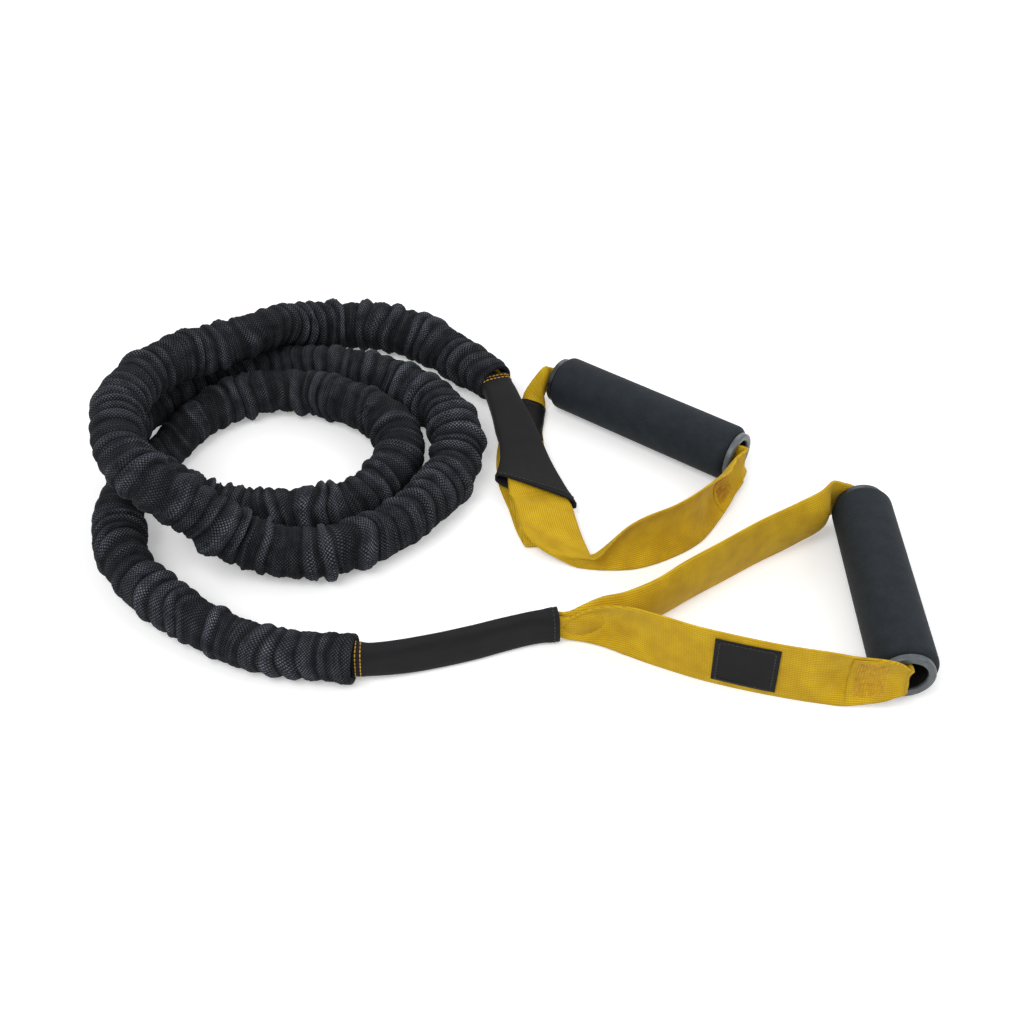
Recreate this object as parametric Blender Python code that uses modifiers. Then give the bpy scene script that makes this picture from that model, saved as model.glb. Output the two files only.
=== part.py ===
"""Resistance tube with handles: a latex tube in a gathered fabric sleeve, with a webbing handle at each end.

Metres, +Z up. The tube lies loosely coiled on the floor, z = 0. The origin is on the floor, under the
middle of the two handles. The sizes come first, then where things lie, then one function for each piece.
"""

import math

import bmesh
import bpy
from mathutils import Vector

# General clearances
FIT = 0.0003
SEAT_GAP = 0.0004
CUT_OVERRUN = 0.004

# How finely the pieces are drawn
GRIP_SIDES = 28
CORE_SIDES = 20
PLUG_SIDES = 14
WHIPPING_SIDES = 12
SLEEVE_SIDES = 8
TUBE_BORE_SIDES = 6
ANCHOR_STEPS = 20
EDGE_STEPS = 2
FOAM_EDGE_STEPS = 3
SHARP_DEGREES = 40
MERGE_WITHIN = 0.00001

# Latex tube and its plugs
TUBE_RADIUS = 0.006
TUBE_BORE_RADIUS = 0.003
PLUG_LENGTH = 0.016
PLUG_HEAD_LENGTH = 0.006
PLUG_EDGE = 0.0015

# Gathered sleeve. Its radius at each place is in the lay below.
GATHER_PITCH = 0.0120
GATHER_DEPTH = 0.0022
SLEEVE_BORE_CLEARANCE = 0.0005
SLEEVE_LEAST_WALL = 0.0008
FLOOR_FLAT = 0.0005
BORE_PITCH = 0.026
BORE_TAPER = 0.008
STRAIGHT_END = 0.030

# The strap's tails round the tube's end, and the thread that binds them
ANCHOR_LENGTH = 0.027
ANCHOR_CLEARANCE = 0.0006
ANCHOR_THICKNESS = 0.0016
ANCHOR_SLIT_DEGREES = 36.0
WHIPPING_THREAD_RADIUS = 0.0006
WHIPPING_TURNS = 4
WHIPPING_RIDGE_DEGREES = 60
WHIPPING_GAP = 0.0003
TUBE_END_SETBACK = 0.012
ANCHOR_SETBACK = 0.0004

# Webbing strap
STRAP_WIDTH = 0.038
STRAP_THICKNESS = 0.0018
STRAP_FLOOR_GAP = 0.0003
GATHERED_EXTRA_THICKNESS = 0.0012
LEAST_SPARE_WIDTH = 1.0001
SECTION_SHARES = (-1, -0.6, 0, 0.6, 1)

# Black sheath over the strap's tails
SHEATH_WALL = 0.0009
SHEATH_AROUND = 16
SHEATH_SQUARENESS = 0.5
# How far the rear sheath's mouth is askew at each edge, and over what length it grows so
REAR_SLANT = 0.0175
SLANTED_LENGTH = 0.060

# Grip: foam on a rigid core, with a moulded ring at each end
GRIP_LENGTH = 0.137
CORE_BORE_RADIUS = 0.0115
CORE_WALL = 0.0015
FOAM_THICKNESS = 0.0045
FOAM_EDGE_RADIUS = 0.004
RING_LIP = 0.001
RING_WIDTH = 0.00425
CORE_OUTER_RADIUS = CORE_BORE_RADIUS + CORE_WALL
FOAM_RADIUS = CORE_OUTER_RADIUS + FOAM_THICKNESS
RING_HOLE_RADIUS = CORE_BORE_RADIUS - RING_LIP
RING_RADIUS = RING_HOLE_RADIUS + RING_WIDTH
RING_PROUD = 0.0035
RING_SOCKET_DEPTH = 0.0015
RING_EDGE_RADIUS = 0.0012
GRIP_STRAP_CLEARANCE = 0.0005

# Sewing
THREAD_RADIUS = 0.0004
BAR_TACK_ROWS = 14
BAR_TACK_PITCH = 0.0011
BAR_TACK_SHARE = 0.5
BAR_TACK_GAP = 0.0005
HEM_SETBACK = 0.003

# Label patch on the front strap
LABEL_LENGTH = 0.0335
LABEL_SHARE = 0.79
LABEL_THICKNESS = 0.0008
LABEL_STEPS = 3

# Where things lie, measured from the point on the floor at the middle of the view, then moved by
# ORIGIN_IN_VIEW so that the part's origin is under the middle of its handles.
ORIGIN_IN_VIEW = Vector((0.0696, -0.0168, 0.0))
COIL_CENTRE = (-0.133, 0.040)

# Each grip's far face, and its heading from its near end to that face
FRONT_GRIP_FAR_FACE = (0.20621, -0.01152)
FRONT_GRIP_HEADING = 88.6
REAR_GRIP_FAR_FACE = (0.03110, 0.11390)
REAR_GRIP_HEADING = 143.1
# How far past the grip's near face each near strand ends, where its turn begins
FRONT_STRAND_PAST = 0.0047
REAR_STRAND_PAST = 0.00995

# The tube's lay. The lead at the rear handle: x, y, lift off the floor, sleeve radius.
REAR_LEAD = [
    (-0.0105, 0.1125, 0.0048, 0.0132),
    (-0.0144, 0.1217, 0.0045, 0.0135),
    (-0.0183, 0.1309, 0.0038, 0.0142),
    (-0.0222, 0.1401, 0.0030, 0.0150),
]
# The turns: degrees round the coil's centre, reach from it, lift off the floor, sleeve radius.
# The outer turn climbs onto the middle one at the back, crosses over the tail at the front left and
# comes down. The middle turn crosses over the tail too, and becomes the inner turn.
TURNS = [
    (52, 0.1500, 0.0010, 0.0160),
    (62, 0.1470, 0.0000, 0.0170),
    (74, 0.1440, 0.0000, 0.0176),
    (86, 0.1375, 0.0020, 0.0173),
    (96, 0.1265, 0.0122, 0.0160),
    (104, 0.1085, 0.0272, 0.0148),
    (114, 0.0945, 0.0325, 0.0154),
    (128, 0.0900, 0.0310, 0.0168),
    (146, 0.0930, 0.0345, 0.0170),
    (164, 0.0970, 0.0385, 0.0168),
    (182, 0.0980, 0.0462, 0.0160),
    (198, 0.1015, 0.0514, 0.0154),
    (214, 0.1070, 0.0518, 0.0160),
    (228, 0.1105, 0.0516, 0.0160),
    (237, 0.1080, 0.0440, 0.0163),
    (246, 0.0995, 0.0270, 0.0168),
    (256, 0.0928, 0.0085, 0.0165),
    (268, 0.0925, 0.0020, 0.0165),
    (284, 0.0960, 0.0000, 0.0168),
    (304, 0.0955, 0.0000, 0.0162),
    (326, 0.0955, 0.0000, 0.0160),
    (346, 0.0978, 0.0000, 0.0169),
    (366, 0.0992, 0.0000, 0.0173),
    (388, 0.0957, 0.0000, 0.0169),
    (410, 0.0915, 0.0000, 0.0163),
    (432, 0.0920, 0.0000, 0.0155),
    (450, 0.0950, 0.0000, 0.0142),
    (464, 0.0980, 0.0000, 0.0130),
    (478, 0.1030, 0.0000, 0.0138),
    (494, 0.1060, 0.0010, 0.0149),
    (510, 0.1070, 0.0050, 0.0147),
    (524, 0.1060, 0.0105, 0.0138),
    (538, 0.1045, 0.0180, 0.0126),
    (552, 0.1020, 0.0244, 0.0121),
    (564, 0.0955, 0.0257, 0.0122),
    (574, 0.0880, 0.0226, 0.0130),
    (583, 0.0790, 0.0145, 0.0143),
    (593, 0.0700, 0.0035, 0.0157),
    (612, 0.0611, 0.0000, 0.0155),
    (640, 0.0598, 0.0000, 0.0155),
    (668, 0.0622, 0.0000, 0.0151),
    (696, 0.0628, 0.0000, 0.0154),
    (722, 0.0640, 0.0000, 0.0167),
    (748, 0.0612, 0.0000, 0.0165),
    (776, 0.0570, 0.0000, 0.0157),
    (802, 0.0602, 0.0000, 0.0154),
    (828, 0.0672, 0.0000, 0.0159),
    (848, 0.0725, 0.0000, 0.0157),
    (866, 0.0765, 0.0000, 0.0144),
    (880, 0.0800, 0.0000, 0.0129),
    (896, 0.0845, 0.0000, 0.0121),
    (910, 0.0955, 0.0000, 0.0116),
    (922, 0.1072, 0.0000, 0.0124),
    (933, 0.1175, 0.0000, 0.0152),
    (944, 0.1262, 0.0000, 0.0150),
    (955, 0.1345, 0.0000, 0.0145),
    (966, 0.1425, 0.0000, 0.0140),
]
# The lead at the front handle: x, y, lift, sleeve radius
FRONT_LEAD = [
    (-0.1730, -0.1030, 0.0000, 0.0138),
    (-0.1430, -0.1200, 0.0000, 0.0132),
    (-0.1148, -0.1276, 0.0010, 0.0124),
    (-0.1049, -0.1287, 0.0010, 0.0124),
    (-0.0949, -0.1298, 0.0009, 0.0125),
    (-0.0850, -0.1309, 0.0006, 0.0128),
]
ROUTE_STEPS = 6

# The sheaths: centre x, y, z, direction across x, y, z, size across, size through
FRONT_SHEATH = [
    (-0.0838, -0.1310, 0.0129, 0, 0, 1, 0.0175, 0.0125),
    (-0.0735, -0.1310, 0.0125, 0, 0, 1, 0.0185, 0.0112),
    (-0.0560, -0.1280, 0.0118, 0, 0, 1, 0.0205, 0.0100),
    (-0.0380, -0.1230, 0.0112, 0, 0, 1, 0.0216, 0.0098),
    (-0.0200, -0.1175, 0.0111, 0, 0, 1, 0.0214, 0.0098),
    (-0.0050, -0.1120, 0.0108, 0, 0, 1, 0.0206, 0.0098),
    (0.0100, -0.1072, 0.0110, 0, 0, 1, 0.0202, 0.0100),
    (0.0250, -0.1045, 0.0114, 0, 0, 1, 0.0204, 0.0104),
]
REAR_SHEATH = [
    (-0.0100, 0.1113, 0.0177, 0.92, 0.39, 0, 0.0190, 0.0125),
    (-0.0060, 0.0990, 0.0175, 0.97, 0.25, 0, 0.0195, 0.0115),
    (-0.0020, 0.0840, 0.0155, 0.97, 0.24, 0, 0.0210, 0.0110),
    (0.0020, 0.0700, 0.0130, 0.96, 0.26, 0, 0.0245, 0.0105),
    (0.0052, 0.0550, 0.0108, 0.97, 0.24, 0, 0.0270, 0.0098),
    (0.0082, 0.0390, 0.0090, 0.98, 0.18, 0, 0.0310, 0.0094),
    (0.0112, 0.0230, 0.0086, 0.99, 0.05, 0, 0.0368, 0.0092),
    (0.0142, 0.0090, 0.0086, 0.99, -0.12, 0, 0.0425, 0.0092),
]
# The strap's two gathered tails in a sheath, as shares of its inner sizes
TAIL_WIDTH_SHARE = 0.80
TAIL_SPREAD_SHARE = 0.42
TAIL_SETBACK = 0.0015

# The free stretches of the straps: one edge x, y, z, other edge x, y, z, width there
FRONT_NEAR_STRAND = [
    (0.0300, -0.1065, 0.0015, 0.0300, -0.1062, 0.0180, 0.0170),
    (0.0380, -0.1078, 0.0008, 0.0378, -0.1073, 0.0235, 0.0250),
    (0.0490, -0.1112, 0.0005, 0.0487, -0.1103, 0.0305, 0.0320),
    (0.0610, -0.1172, 0.0004, 0.0605, -0.1160, 0.0360, 0.0370),
    (0.0760, -0.1245, 0.0004, 0.0755, -0.1232, 0.0383, 0.0380),
    (0.0970, -0.1335, 0.0004, 0.0965, -0.1323, 0.0384, 0.0380),
    (0.1200, -0.1410, 0.0004, 0.1197, -0.1398, 0.0384, 0.0380),
    (0.1400, -0.1463, 0.0004, 0.1398, -0.1450, 0.0384, 0.0380),
    (0.1580, -0.1503, 0.0004, 0.1578, -0.1490, 0.0382, 0.0380),
    (0.1710, -0.1530, 0.0010, 0.1710, -0.1518, 0.0372, 0.0380),
]
FRONT_FAR_STRAND = [
    (0.1800, -0.0195, 0.0020, 0.1790, -0.0220, 0.0362, 0.0380),
    (0.1640, -0.0313, 0.0010, 0.1625, -0.0343, 0.0372, 0.0380),
    (0.1430, -0.0447, 0.0005, 0.1410, -0.0487, 0.0378, 0.0380),
    (0.1200, -0.0607, 0.0005, 0.1180, -0.0652, 0.0378, 0.0380),
    (0.0980, -0.0755, 0.0005, 0.0962, -0.0795, 0.0360, 0.0370),
    (0.0790, -0.0888, 0.0005, 0.0775, -0.0925, 0.0335, 0.0350),
    (0.0610, -0.0978, 0.0005, 0.0602, -0.0998, 0.0310, 0.0330),
    (0.0480, -0.1010, 0.0006, 0.0476, -0.1020, 0.0295, 0.0310),
    (0.0380, -0.1030, 0.0008, 0.0378, -0.1033, 0.0250, 0.0260),
    (0.0300, -0.1032, 0.0015, 0.0300, -0.1034, 0.0200, 0.0190),
]
REAR_NEAR_STRAND = [
    (0.0005, 0.0010, 0.0086, 0.0352, -0.0020, 0.0090, 0.0352),
    (0.0025, -0.0110, 0.0072, 0.0380, -0.0155, 0.0085, 0.0375),
    (0.0060, -0.0250, 0.0062, 0.0410, -0.0305, 0.0080, 0.0370),
    (0.0135, -0.0370, 0.0060, 0.0445, -0.0445, 0.0085, 0.0330),
    (0.0245, -0.0445, 0.0040, 0.0470, -0.0525, 0.0100, 0.0255),
    (0.0380, -0.0495, 0.0004, 0.0525, -0.0530, 0.0160, 0.0230),
    (0.0540, -0.0520, 0.0004, 0.0628, -0.0505, 0.0295, 0.0320),
    (0.0730, -0.0505, 0.0004, 0.0757, -0.0455, 0.0360, 0.0375),
    (0.0950, -0.0405, 0.0004, 0.0945, -0.0352, 0.0372, 0.0380),
    (0.1120, -0.0275, 0.0008, 0.1100, -0.0230, 0.0375, 0.0380),
    (0.1240, -0.0115, 0.0024, 0.1220, -0.0095, 0.0345, 0.0370),
    (0.1335, 0.0030, 0.0055, 0.1312, 0.0050, 0.0290, 0.0300),
]
REAR_FAR_STRAND = [
    (0.0190, 0.1085, 0.0040, 0.0148, 0.1105, 0.0215, 0.0240),
    (0.0158, 0.1040, 0.0022, 0.0085, 0.1070, 0.0125, 0.0200),
    (0.0165, 0.0985, 0.0018, 0.0060, 0.1000, 0.0075, 0.0180),
    (0.0185, 0.0920, 0.0016, 0.0036, 0.0930, 0.0055, 0.0180),
    (0.0195, 0.0840, 0.0015, 0.0000, 0.0850, 0.0050, 0.0215),
    (0.0198, 0.0760, 0.0014, -0.0070, 0.0760, 0.0038, 0.0275),
    (0.0205, 0.0670, 0.0013, -0.0085, 0.0670, 0.0020, 0.0294),
    (0.0215, 0.0500, 0.0013, -0.0100, 0.0500, 0.0013, 0.0310),
    (0.0245, 0.0250, 0.0013, -0.0085, 0.0250, 0.0013, 0.0330),
    (0.0285, 0.0000, 0.0013, -0.0018, 0.0000, 0.0013, 0.0303),
    (0.0300, -0.0180, 0.0013, 0.0025, -0.0185, 0.0013, 0.0275),
    (0.0300, -0.0305, 0.0015, 0.0065, -0.0300, 0.0015, 0.0235),
    (0.0302, -0.0335, 0.0027, 0.0075, -0.0331, 0.0027, 0.0227),
    (0.0300, -0.0305, 0.0039, 0.0065, -0.0300, 0.0039, 0.0235),
    (0.0300, -0.0160, 0.0070, 0.0035, -0.0160, 0.0070, 0.0265),
    (0.0325, -0.0010, 0.0078, -0.0015, 0.0010, 0.0077, 0.0326),
]
# Where a strap turns into a grip's bore: for each edge how far it is out of the ring's face, how far
# from the grip's axis towards the handle's throat and its height; then the width. From the strand on.
FRONT_NEAR_TURN = [
    (0.0060, 0.0114, 0.0065, 0.0048, 0.0114, 0.0355, 0.0298),
    (0.0055, 0.0044, 0.0105, 0.0036, 0.0044, 0.0312, 0.0213),
    (0.0046, 0.0006, 0.0100, 0.0030, 0.0006, 0.0272, 0.0176),
]
FRONT_FAR_TURN = [
    (-0.0045, 0.0215, 0.0030, -0.0045, 0.0215, 0.0355, 0.0328),
    (0.0022, 0.0165, 0.0050, 0.0022, 0.0165, 0.0325, 0.0277),
    (0.0044, 0.0100, 0.0070, 0.0044, 0.0100, 0.0290, 0.0222),
    (0.0050, 0.0040, 0.0085, 0.0050, 0.0040, 0.0265, 0.0184),
]
REAR_NEAR_TURN = [
    (0.0085, 0.0168, 0.0040, 0.0045, 0.0129, 0.0275, 0.0260),
    (0.0075, 0.0050, 0.0070, 0.0050, 0.0020, 0.0265, 0.0210),
    (0.0048, -0.0010, 0.0085, 0.0038, -0.0010, 0.0262, 0.0185),
]
REAR_FAR_TURN = [
    (0.0062, 0.0085, 0.0090, 0.0062, 0.0085, 0.0300, 0.0228),
    (0.0048, 0.0030, 0.0082, 0.0048, 0.0030, 0.0268, 0.0191),
]
# In the bore the strap first goes flat, then curls into a C at a depth from the ring's face
BORE_ENTRY = [
    (-0.0030, 0.0000, 0.0085, -0.0036, 0.0000, 0.0262, 0.0185),
    (-0.0140, 0.0040, 0.0085, -0.0140, 0.0040, 0.0265, 0.0205),
]
CURL_DEPTH = 0.040
STRAP_STEPS = 2
STRAP_ACROSS = 6
# How far from the sheath's mouth, along the strap's lower edge
LABEL_ALONG = 0.086
FRONT_BAR_TACK_ALONG = 0.155
REAR_BAR_TACK_ALONG = 0.186


def reset_scene():
    """Empty the scene and make the part's collection and the cutters' one."""
    for item in list(bpy.data.objects):
        bpy.data.objects.remove(item)
    for name in ("resistance_tube", "cutters"):
        bpy.context.scene.collection.children.link(bpy.data.collections.new(name))


def material(name, colour, roughness, metallic=0.0):
    """A plain Principled material with the piece's colour."""
    made = bpy.data.materials.new(name)
    made.use_nodes = True
    shader = made.node_tree.nodes["Principled BSDF"]
    shader.inputs["Base Color"].default_value = (*colour, 1.0)
    shader.inputs["Roughness"].default_value = roughness
    shader.inputs["Metallic"].default_value = metallic
    return made


def make_materials():
    """The part's finishes by name."""
    return {
        "sleeve_fabric": material("sleeve_fabric", (0.016, 0.018, 0.021), 0.85),
        "sheath_fabric": material("sheath_fabric", (0.022, 0.020, 0.020), 0.9),
        "webbing": material("webbing", (0.58, 0.38, 0.03), 0.7),
        "thread": material("thread", (0.50, 0.42, 0.06), 0.7),
        "foam": material("foam", (0.025, 0.034, 0.042), 0.8),
        "ring_plastic": material("ring_plastic", (0.24, 0.27, 0.29), 0.4),
        "latex": material("latex", (0.30, 0.26, 0.20), 0.5),
        "label": material("label", (0.02, 0.02, 0.02), 0.75),
    }


def add_object(name, mesh, finish, parent=None):
    """Put a mesh in the part's collection with its material."""
    made = bpy.data.objects.new(name, mesh)
    bpy.data.collections["resistance_tube"].objects.link(made)
    made.data.materials.clear()
    made.data.materials.append(finish)
    if parent:
        made.parent = parent
    return made


def mesh_from(name, points, faces):
    """A closed mesh from a loft's points and faces, with its faces turned outwards."""
    mesh = bpy.data.meshes.new(name)
    mesh.from_pydata([tuple(p) for p in points], [], faces)
    form = bmesh.new()
    form.from_mesh(mesh)
    bmesh.ops.recalc_face_normals(form, faces=form.faces)
    form.to_mesh(mesh)
    form.free()
    mesh.shade_smooth()
    mesh.set_sharp_from_angle(angle=math.radians(SHARP_DEGREES))
    return mesh


def smooth_rows(rows, steps):
    """Rows of numbers along a smooth curve through the given rows; the first three are its place."""
    first = [2 * a - b for a, b in zip(rows[0], rows[1])]
    last = [2 * a - b for a, b in zip(rows[-1], rows[-2])]
    padded = [first, *rows, last]
    made = []
    for i in range(1, len(padded) - 2):
        span = padded[i - 1:i + 3]
        knots = [0.0]
        for a, b in zip(span, span[1:]):
            knots.append(knots[-1] + max((Vector(b[:3]) - Vector(a[:3])).length, 1e-5) ** 0.5)
        for step in range(steps):
            made.append(blend_span(span, knots, knots[1] + (knots[2] - knots[1]) * step / steps))
    made.append(list(rows[-1]))
    return made


def blend_span(span, knots, t):
    """One row of a Catmull-Rom span with its own knots."""
    rows = [list(row) for row in span]
    for level, (low, high) in enumerate(((0, 1), (0, 2), (1, 2))):
        for j in range(3 - level):
            start = knots[j + low]
            share = (t - start) / (knots[j + high] - start)
            rows[j] = [a + (b - a) * share for a, b in zip(rows[j], rows[j + 1])]
    return rows[0]


def evenly(rows, pitch):
    """Rows at equal steps along their curve, with both ends kept."""
    lengths = [0.0]
    for a, b in zip(rows, rows[1:]):
        lengths.append(lengths[-1] + (Vector(b[:3]) - Vector(a[:3])).length)
    count = max(2, round(lengths[-1] / pitch))
    made = []
    place = 0
    for i in range(count + 1):
        want = lengths[-1] * i / count
        while place < len(rows) - 2 and lengths[place + 1] < want:
            place += 1
        share = (want - lengths[place]) / (lengths[place + 1] - lengths[place])
        made.append([a + (b - a) * share for a, b in zip(rows[place], rows[place + 1])])
    return made


def length_of(rows):
    """Length along a list of rows."""
    return sum((Vector(b[:3]) - Vector(a[:3])).length for a, b in zip(rows, rows[1:]))


def in_part(x, y, z=0.0):
    """A place in the view's floor frame, in the part's frame."""
    return Vector((x, y, z)) - ORIGIN_IN_VIEW


def tube_route():
    """The tube's whole centre line as rows of x, y, z, sleeve radius."""
    rows = [(x, y, lift, radius) for x, y, lift, radius in REAR_LEAD]
    for degrees, reach, lift, radius in TURNS:
        angle = math.radians(degrees)
        x = COIL_CENTRE[0] + reach * math.cos(angle)
        y = COIL_CENTRE[1] + reach * math.sin(angle)
        rows.append((x, y, lift, radius))
    rows += FRONT_LEAD
    placed = []
    for x, y, lift, radius in rows:
        spot = in_part(x, y, radius - FLOOR_FLAT + lift)
        placed.append((*spot, radius))
    return smooth_rows(placed, ROUTE_STEPS)


def trim(rows, start, end):
    """The same line of rows with a length taken off its start and its end."""
    made = [list(row) for row in rows]
    for length in (start, end):
        while length > 0:
            step = (Vector(made[1][:3]) - Vector(made[0][:3])).length
            if step <= length:
                made.pop(0)
            else:
                made[0] = [a + (b - a) * length / step for a, b in zip(made[0], made[1])]
            length -= step
        made.reverse()
    return made


def bent_tube(name, rows, radii, sides):
    """The mesh of a round bar along rows of places, with a radius at each, closed at both ends."""
    curve = bpy.data.curves.new(name, "CURVE")
    curve.dimensions = "3D"
    curve.twist_mode = "Z_UP"
    curve.bevel_depth = 1.0
    curve.bevel_resolution = sides // 2 - 2
    curve.use_fill_caps = True
    spline = curve.splines.new("POLY")
    spline.points.add(len(rows) - 1)
    for point, row, radius in zip(spline.points, rows, radii):
        point.co = (row[0], row[1], row[2], 1.0)
        point.radius = radius
    guide = bpy.data.objects.new(name, curve)
    bpy.context.scene.collection.objects.link(guide)
    bpy.context.view_layer.update()
    mesh = bpy.data.meshes.new_from_object(guide.evaluated_get(bpy.context.evaluated_depsgraph_get()))
    bpy.data.objects.remove(guide)
    form = bmesh.new()
    form.from_mesh(mesh)
    bmesh.ops.remove_doubles(form, verts=form.verts, dist=MERGE_WITHIN)
    bmesh.ops.recalc_face_normals(form, faces=form.faces)
    form.to_mesh(mesh)
    form.free()
    mesh.name = name
    return mesh


def cutter(name, mesh):
    """A hidden object that only cuts others."""
    made = bpy.data.objects.new(name, mesh)
    bpy.data.collections["cutters"].objects.link(made)
    made.hide_render = True
    made.display_type = "WIRE"
    return made


def cut(target, tool):
    """Cut one object by another with a Boolean modifier."""
    change = target.modifiers.new(tool.name, "BOOLEAN")
    change.operation = "DIFFERENCE"
    change.solver = "EXACT"
    change.object = tool


def anchor_outer_radius():
    """Outer radius of the strap's tails where they hug the tube."""
    return TUBE_RADIUS + ANCHOR_CLEARANCE + ANCHOR_THICKNESS


def wide_bore_radius():
    """The sleeve's bore where it covers the strap's tails and their whipping."""
    whipping = anchor_outer_radius() + WHIPPING_GAP + 2 * WHIPPING_THREAD_RADIUS
    return (whipping + FIT) / math.cos(math.pi / SLEEVE_SIDES)


def bore_radius(place, whole):
    """The sleeve's bore at a distance along it."""
    narrow = TUBE_RADIUS + SLEEVE_BORE_CLEARANCE
    depth = min(place, whole - place) - STRAIGHT_END - CUT_OVERRUN
    share = min(1.0, max(0.0, depth / BORE_TAPER))
    return wide_bore_radius() + (narrow - wide_bore_radius()) * share


def bore_rows(route):
    """The bore's centre line, straight at its ends and run on a little so that it cuts through."""
    ends = []
    for a, b in ((route[0], route[1]), (route[-1], route[-2])):
        way = (Vector(a[:3]) - Vector(b[:3])).normalized() * CUT_OVERRUN
        ends.append([*(Vector(a[:3]) + way), a[3]])
    return [ends[0], *evenly(trim(route, STRAIGHT_END, STRAIGHT_END), BORE_PITCH), ends[1]]


def make_sleeve(route, finish):
    """The gathered sleeve: a crest and a valley for each gather, a bore, and a flat where it lies."""
    gathers = round(length_of(route) / GATHER_PITCH)
    rows = evenly(route, length_of(route) / (2 * gathers))
    whole = length_of(route)
    radii = []
    for i, row in enumerate(rows):
        inside = bore_radius(whole * i / (2 * gathers), whole) + SLEEVE_LEAST_WALL
        radii.append(row[3] if i % 2 else max(row[3] - GATHER_DEPTH, inside))
    sleeve = add_object("safety_sleeve", bent_tube("safety_sleeve", rows, radii, SLEEVE_SIDES), finish)
    inner = bore_rows(route)
    reach = length_of(inner)
    inner_radii = [bore_radius(length_of(inner[:i + 1]), reach) for i in range(len(inner))]
    cut(sleeve, cutter("sleeve_bore", bent_tube("sleeve_bore", inner, inner_radii, SLEEVE_SIDES)))
    cut(sleeve, block_under(sleeve))
    print(f"sleeve: length {whole:.4f} m, {gathers} gathers")


def block_under(piece):
    """A cutting block that holds all of a piece that is below the floor."""
    places = [vertex.co for vertex in piece.data.vertices]
    low = Vector([min(place[i] for place in places) - CUT_OVERRUN for i in range(3)])
    high = Vector([max(place[i] for place in places) + CUT_OVERRUN for i in range(3)])
    high.z = 0.0
    form = bmesh.new()
    bmesh.ops.create_cube(form, size=1.0)
    bmesh.ops.scale(form, vec=high - low, verts=form.verts)
    bmesh.ops.translate(form, vec=(low + high) / 2, verts=form.verts)
    mesh = bpy.data.meshes.new("under_floor")
    form.to_mesh(mesh)
    form.free()
    return cutter("under_floor", mesh)


def make_latex_tube(route, finish):
    """The elastic tube in the sleeve's bore, with its own bore, from plug to plug."""
    setback = TUBE_END_SETBACK + CUT_OVERRUN
    rows = trim(bore_rows(route), setback, setback)
    mesh = bent_tube("latex_tube", rows, [TUBE_RADIUS] * len(rows), SLEEVE_SIDES)
    tube = add_object("latex_tube", mesh, finish)
    inner = trim(bore_rows(route), setback - CUT_OVERRUN, setback - CUT_OVERRUN)
    mesh = bent_tube("tube_bore", inner, [TUBE_BORE_RADIUS] * len(inner), TUBE_BORE_SIDES)
    cut(tube, cutter("tube_bore", mesh))


def turned(name, profile, sides, finish, parent):
    """A turned piece about its parent's X axis, from a closed profile of radius and place along it."""
    form = bmesh.new()
    points = [form.verts.new((radius, 0, along)) for radius, along in profile]
    for a, b in zip(points, points[1:] + points[:1]):
        form.edges.new((a, b))
    mesh = bpy.data.meshes.new(name)
    form.to_mesh(mesh)
    form.free()
    made = add_object(name, mesh, finish, parent)
    made.rotation_euler = (0, math.radians(90), 0)
    screw = made.modifiers.new("turn", "SCREW")
    screw.steps = sides
    screw.render_steps = sides
    screw.use_merge_vertices = True
    screw.merge_threshold = MERGE_WITHIN
    screw.use_smooth_shade = True
    return made


def arc(centre, radius, start, end, count):
    """Points of an arc, in degrees, for a profile."""
    angles = [math.radians(start + (end - start) * i / count) for i in range(count + 1)]
    return [(centre[0] + radius * math.cos(a), centre[1] + radius * math.sin(a)) for a in angles]


def axis_empty(name, place, heading):
    """An empty with X along a heading, on a joint's axis or a piece's middle."""
    made = bpy.data.objects.new(name, None)
    bpy.data.collections["resistance_tube"].objects.link(made)
    made.location = place
    made.rotation_euler = (0, 0, heading)
    return made


def heading_of(start, end):
    """The heading on the floor from one place to another, in radians."""
    return math.atan2(end[1] - start[1], end[0] - start[0])


def make_tube_end(side, route_end, route_next, finishes):
    """The plug, the strap's tails and the whipping at one end of the tube."""
    out = heading_of(route_next, route_end)
    end = axis_empty(f"{side}_tube_end", Vector(route_end[:3]), out)
    bpy.context.view_layer.update()

    face = -TUBE_END_SETBACK
    head_end = face + FIT + PLUG_HEAD_LENGTH
    shaft_radius = TUBE_BORE_RADIUS * math.cos(math.pi / TUBE_BORE_SIDES) - FIT
    dome = arc((TUBE_RADIUS - PLUG_EDGE, head_end - PLUG_EDGE), PLUG_EDGE, 90, 0, EDGE_STEPS)
    plug = [(0.0, head_end), *dome, (TUBE_RADIUS, face + FIT), (shaft_radius, face + FIT)]
    plug += [(shaft_radius, face - PLUG_LENGTH), (0.0, face - PLUG_LENGTH)]
    piece = turned(f"{side}_tube_plug", plug, PLUG_SIDES, finishes["ring_plastic"], end)
    drop_axis_edge(piece.data)

    make_anchor(f"{side}_anchor_webbing", end, finishes["webbing"])

    inner = anchor_outer_radius() + WHIPPING_GAP
    start = -ANCHOR_LENGTH / 2 + WHIPPING_TURNS * WHIPPING_THREAD_RADIUS
    ridges = []
    for i in range(WHIPPING_TURNS):
        middle = start - (2 * i + 1) * WHIPPING_THREAD_RADIUS
        place = (inner + WHIPPING_THREAD_RADIUS, middle)
        ridge = WHIPPING_RIDGE_DEGREES
        ridges += arc(place, WHIPPING_THREAD_RADIUS, ridge, -ridge, EDGE_STEPS)
    last = start - 2 * WHIPPING_TURNS * WHIPPING_THREAD_RADIUS
    profile = [(inner, start), *ridges, (inner, last)]
    turned(f"{side}_whipping", profile, WHIPPING_SIDES, finishes["thread"], end)


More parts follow.
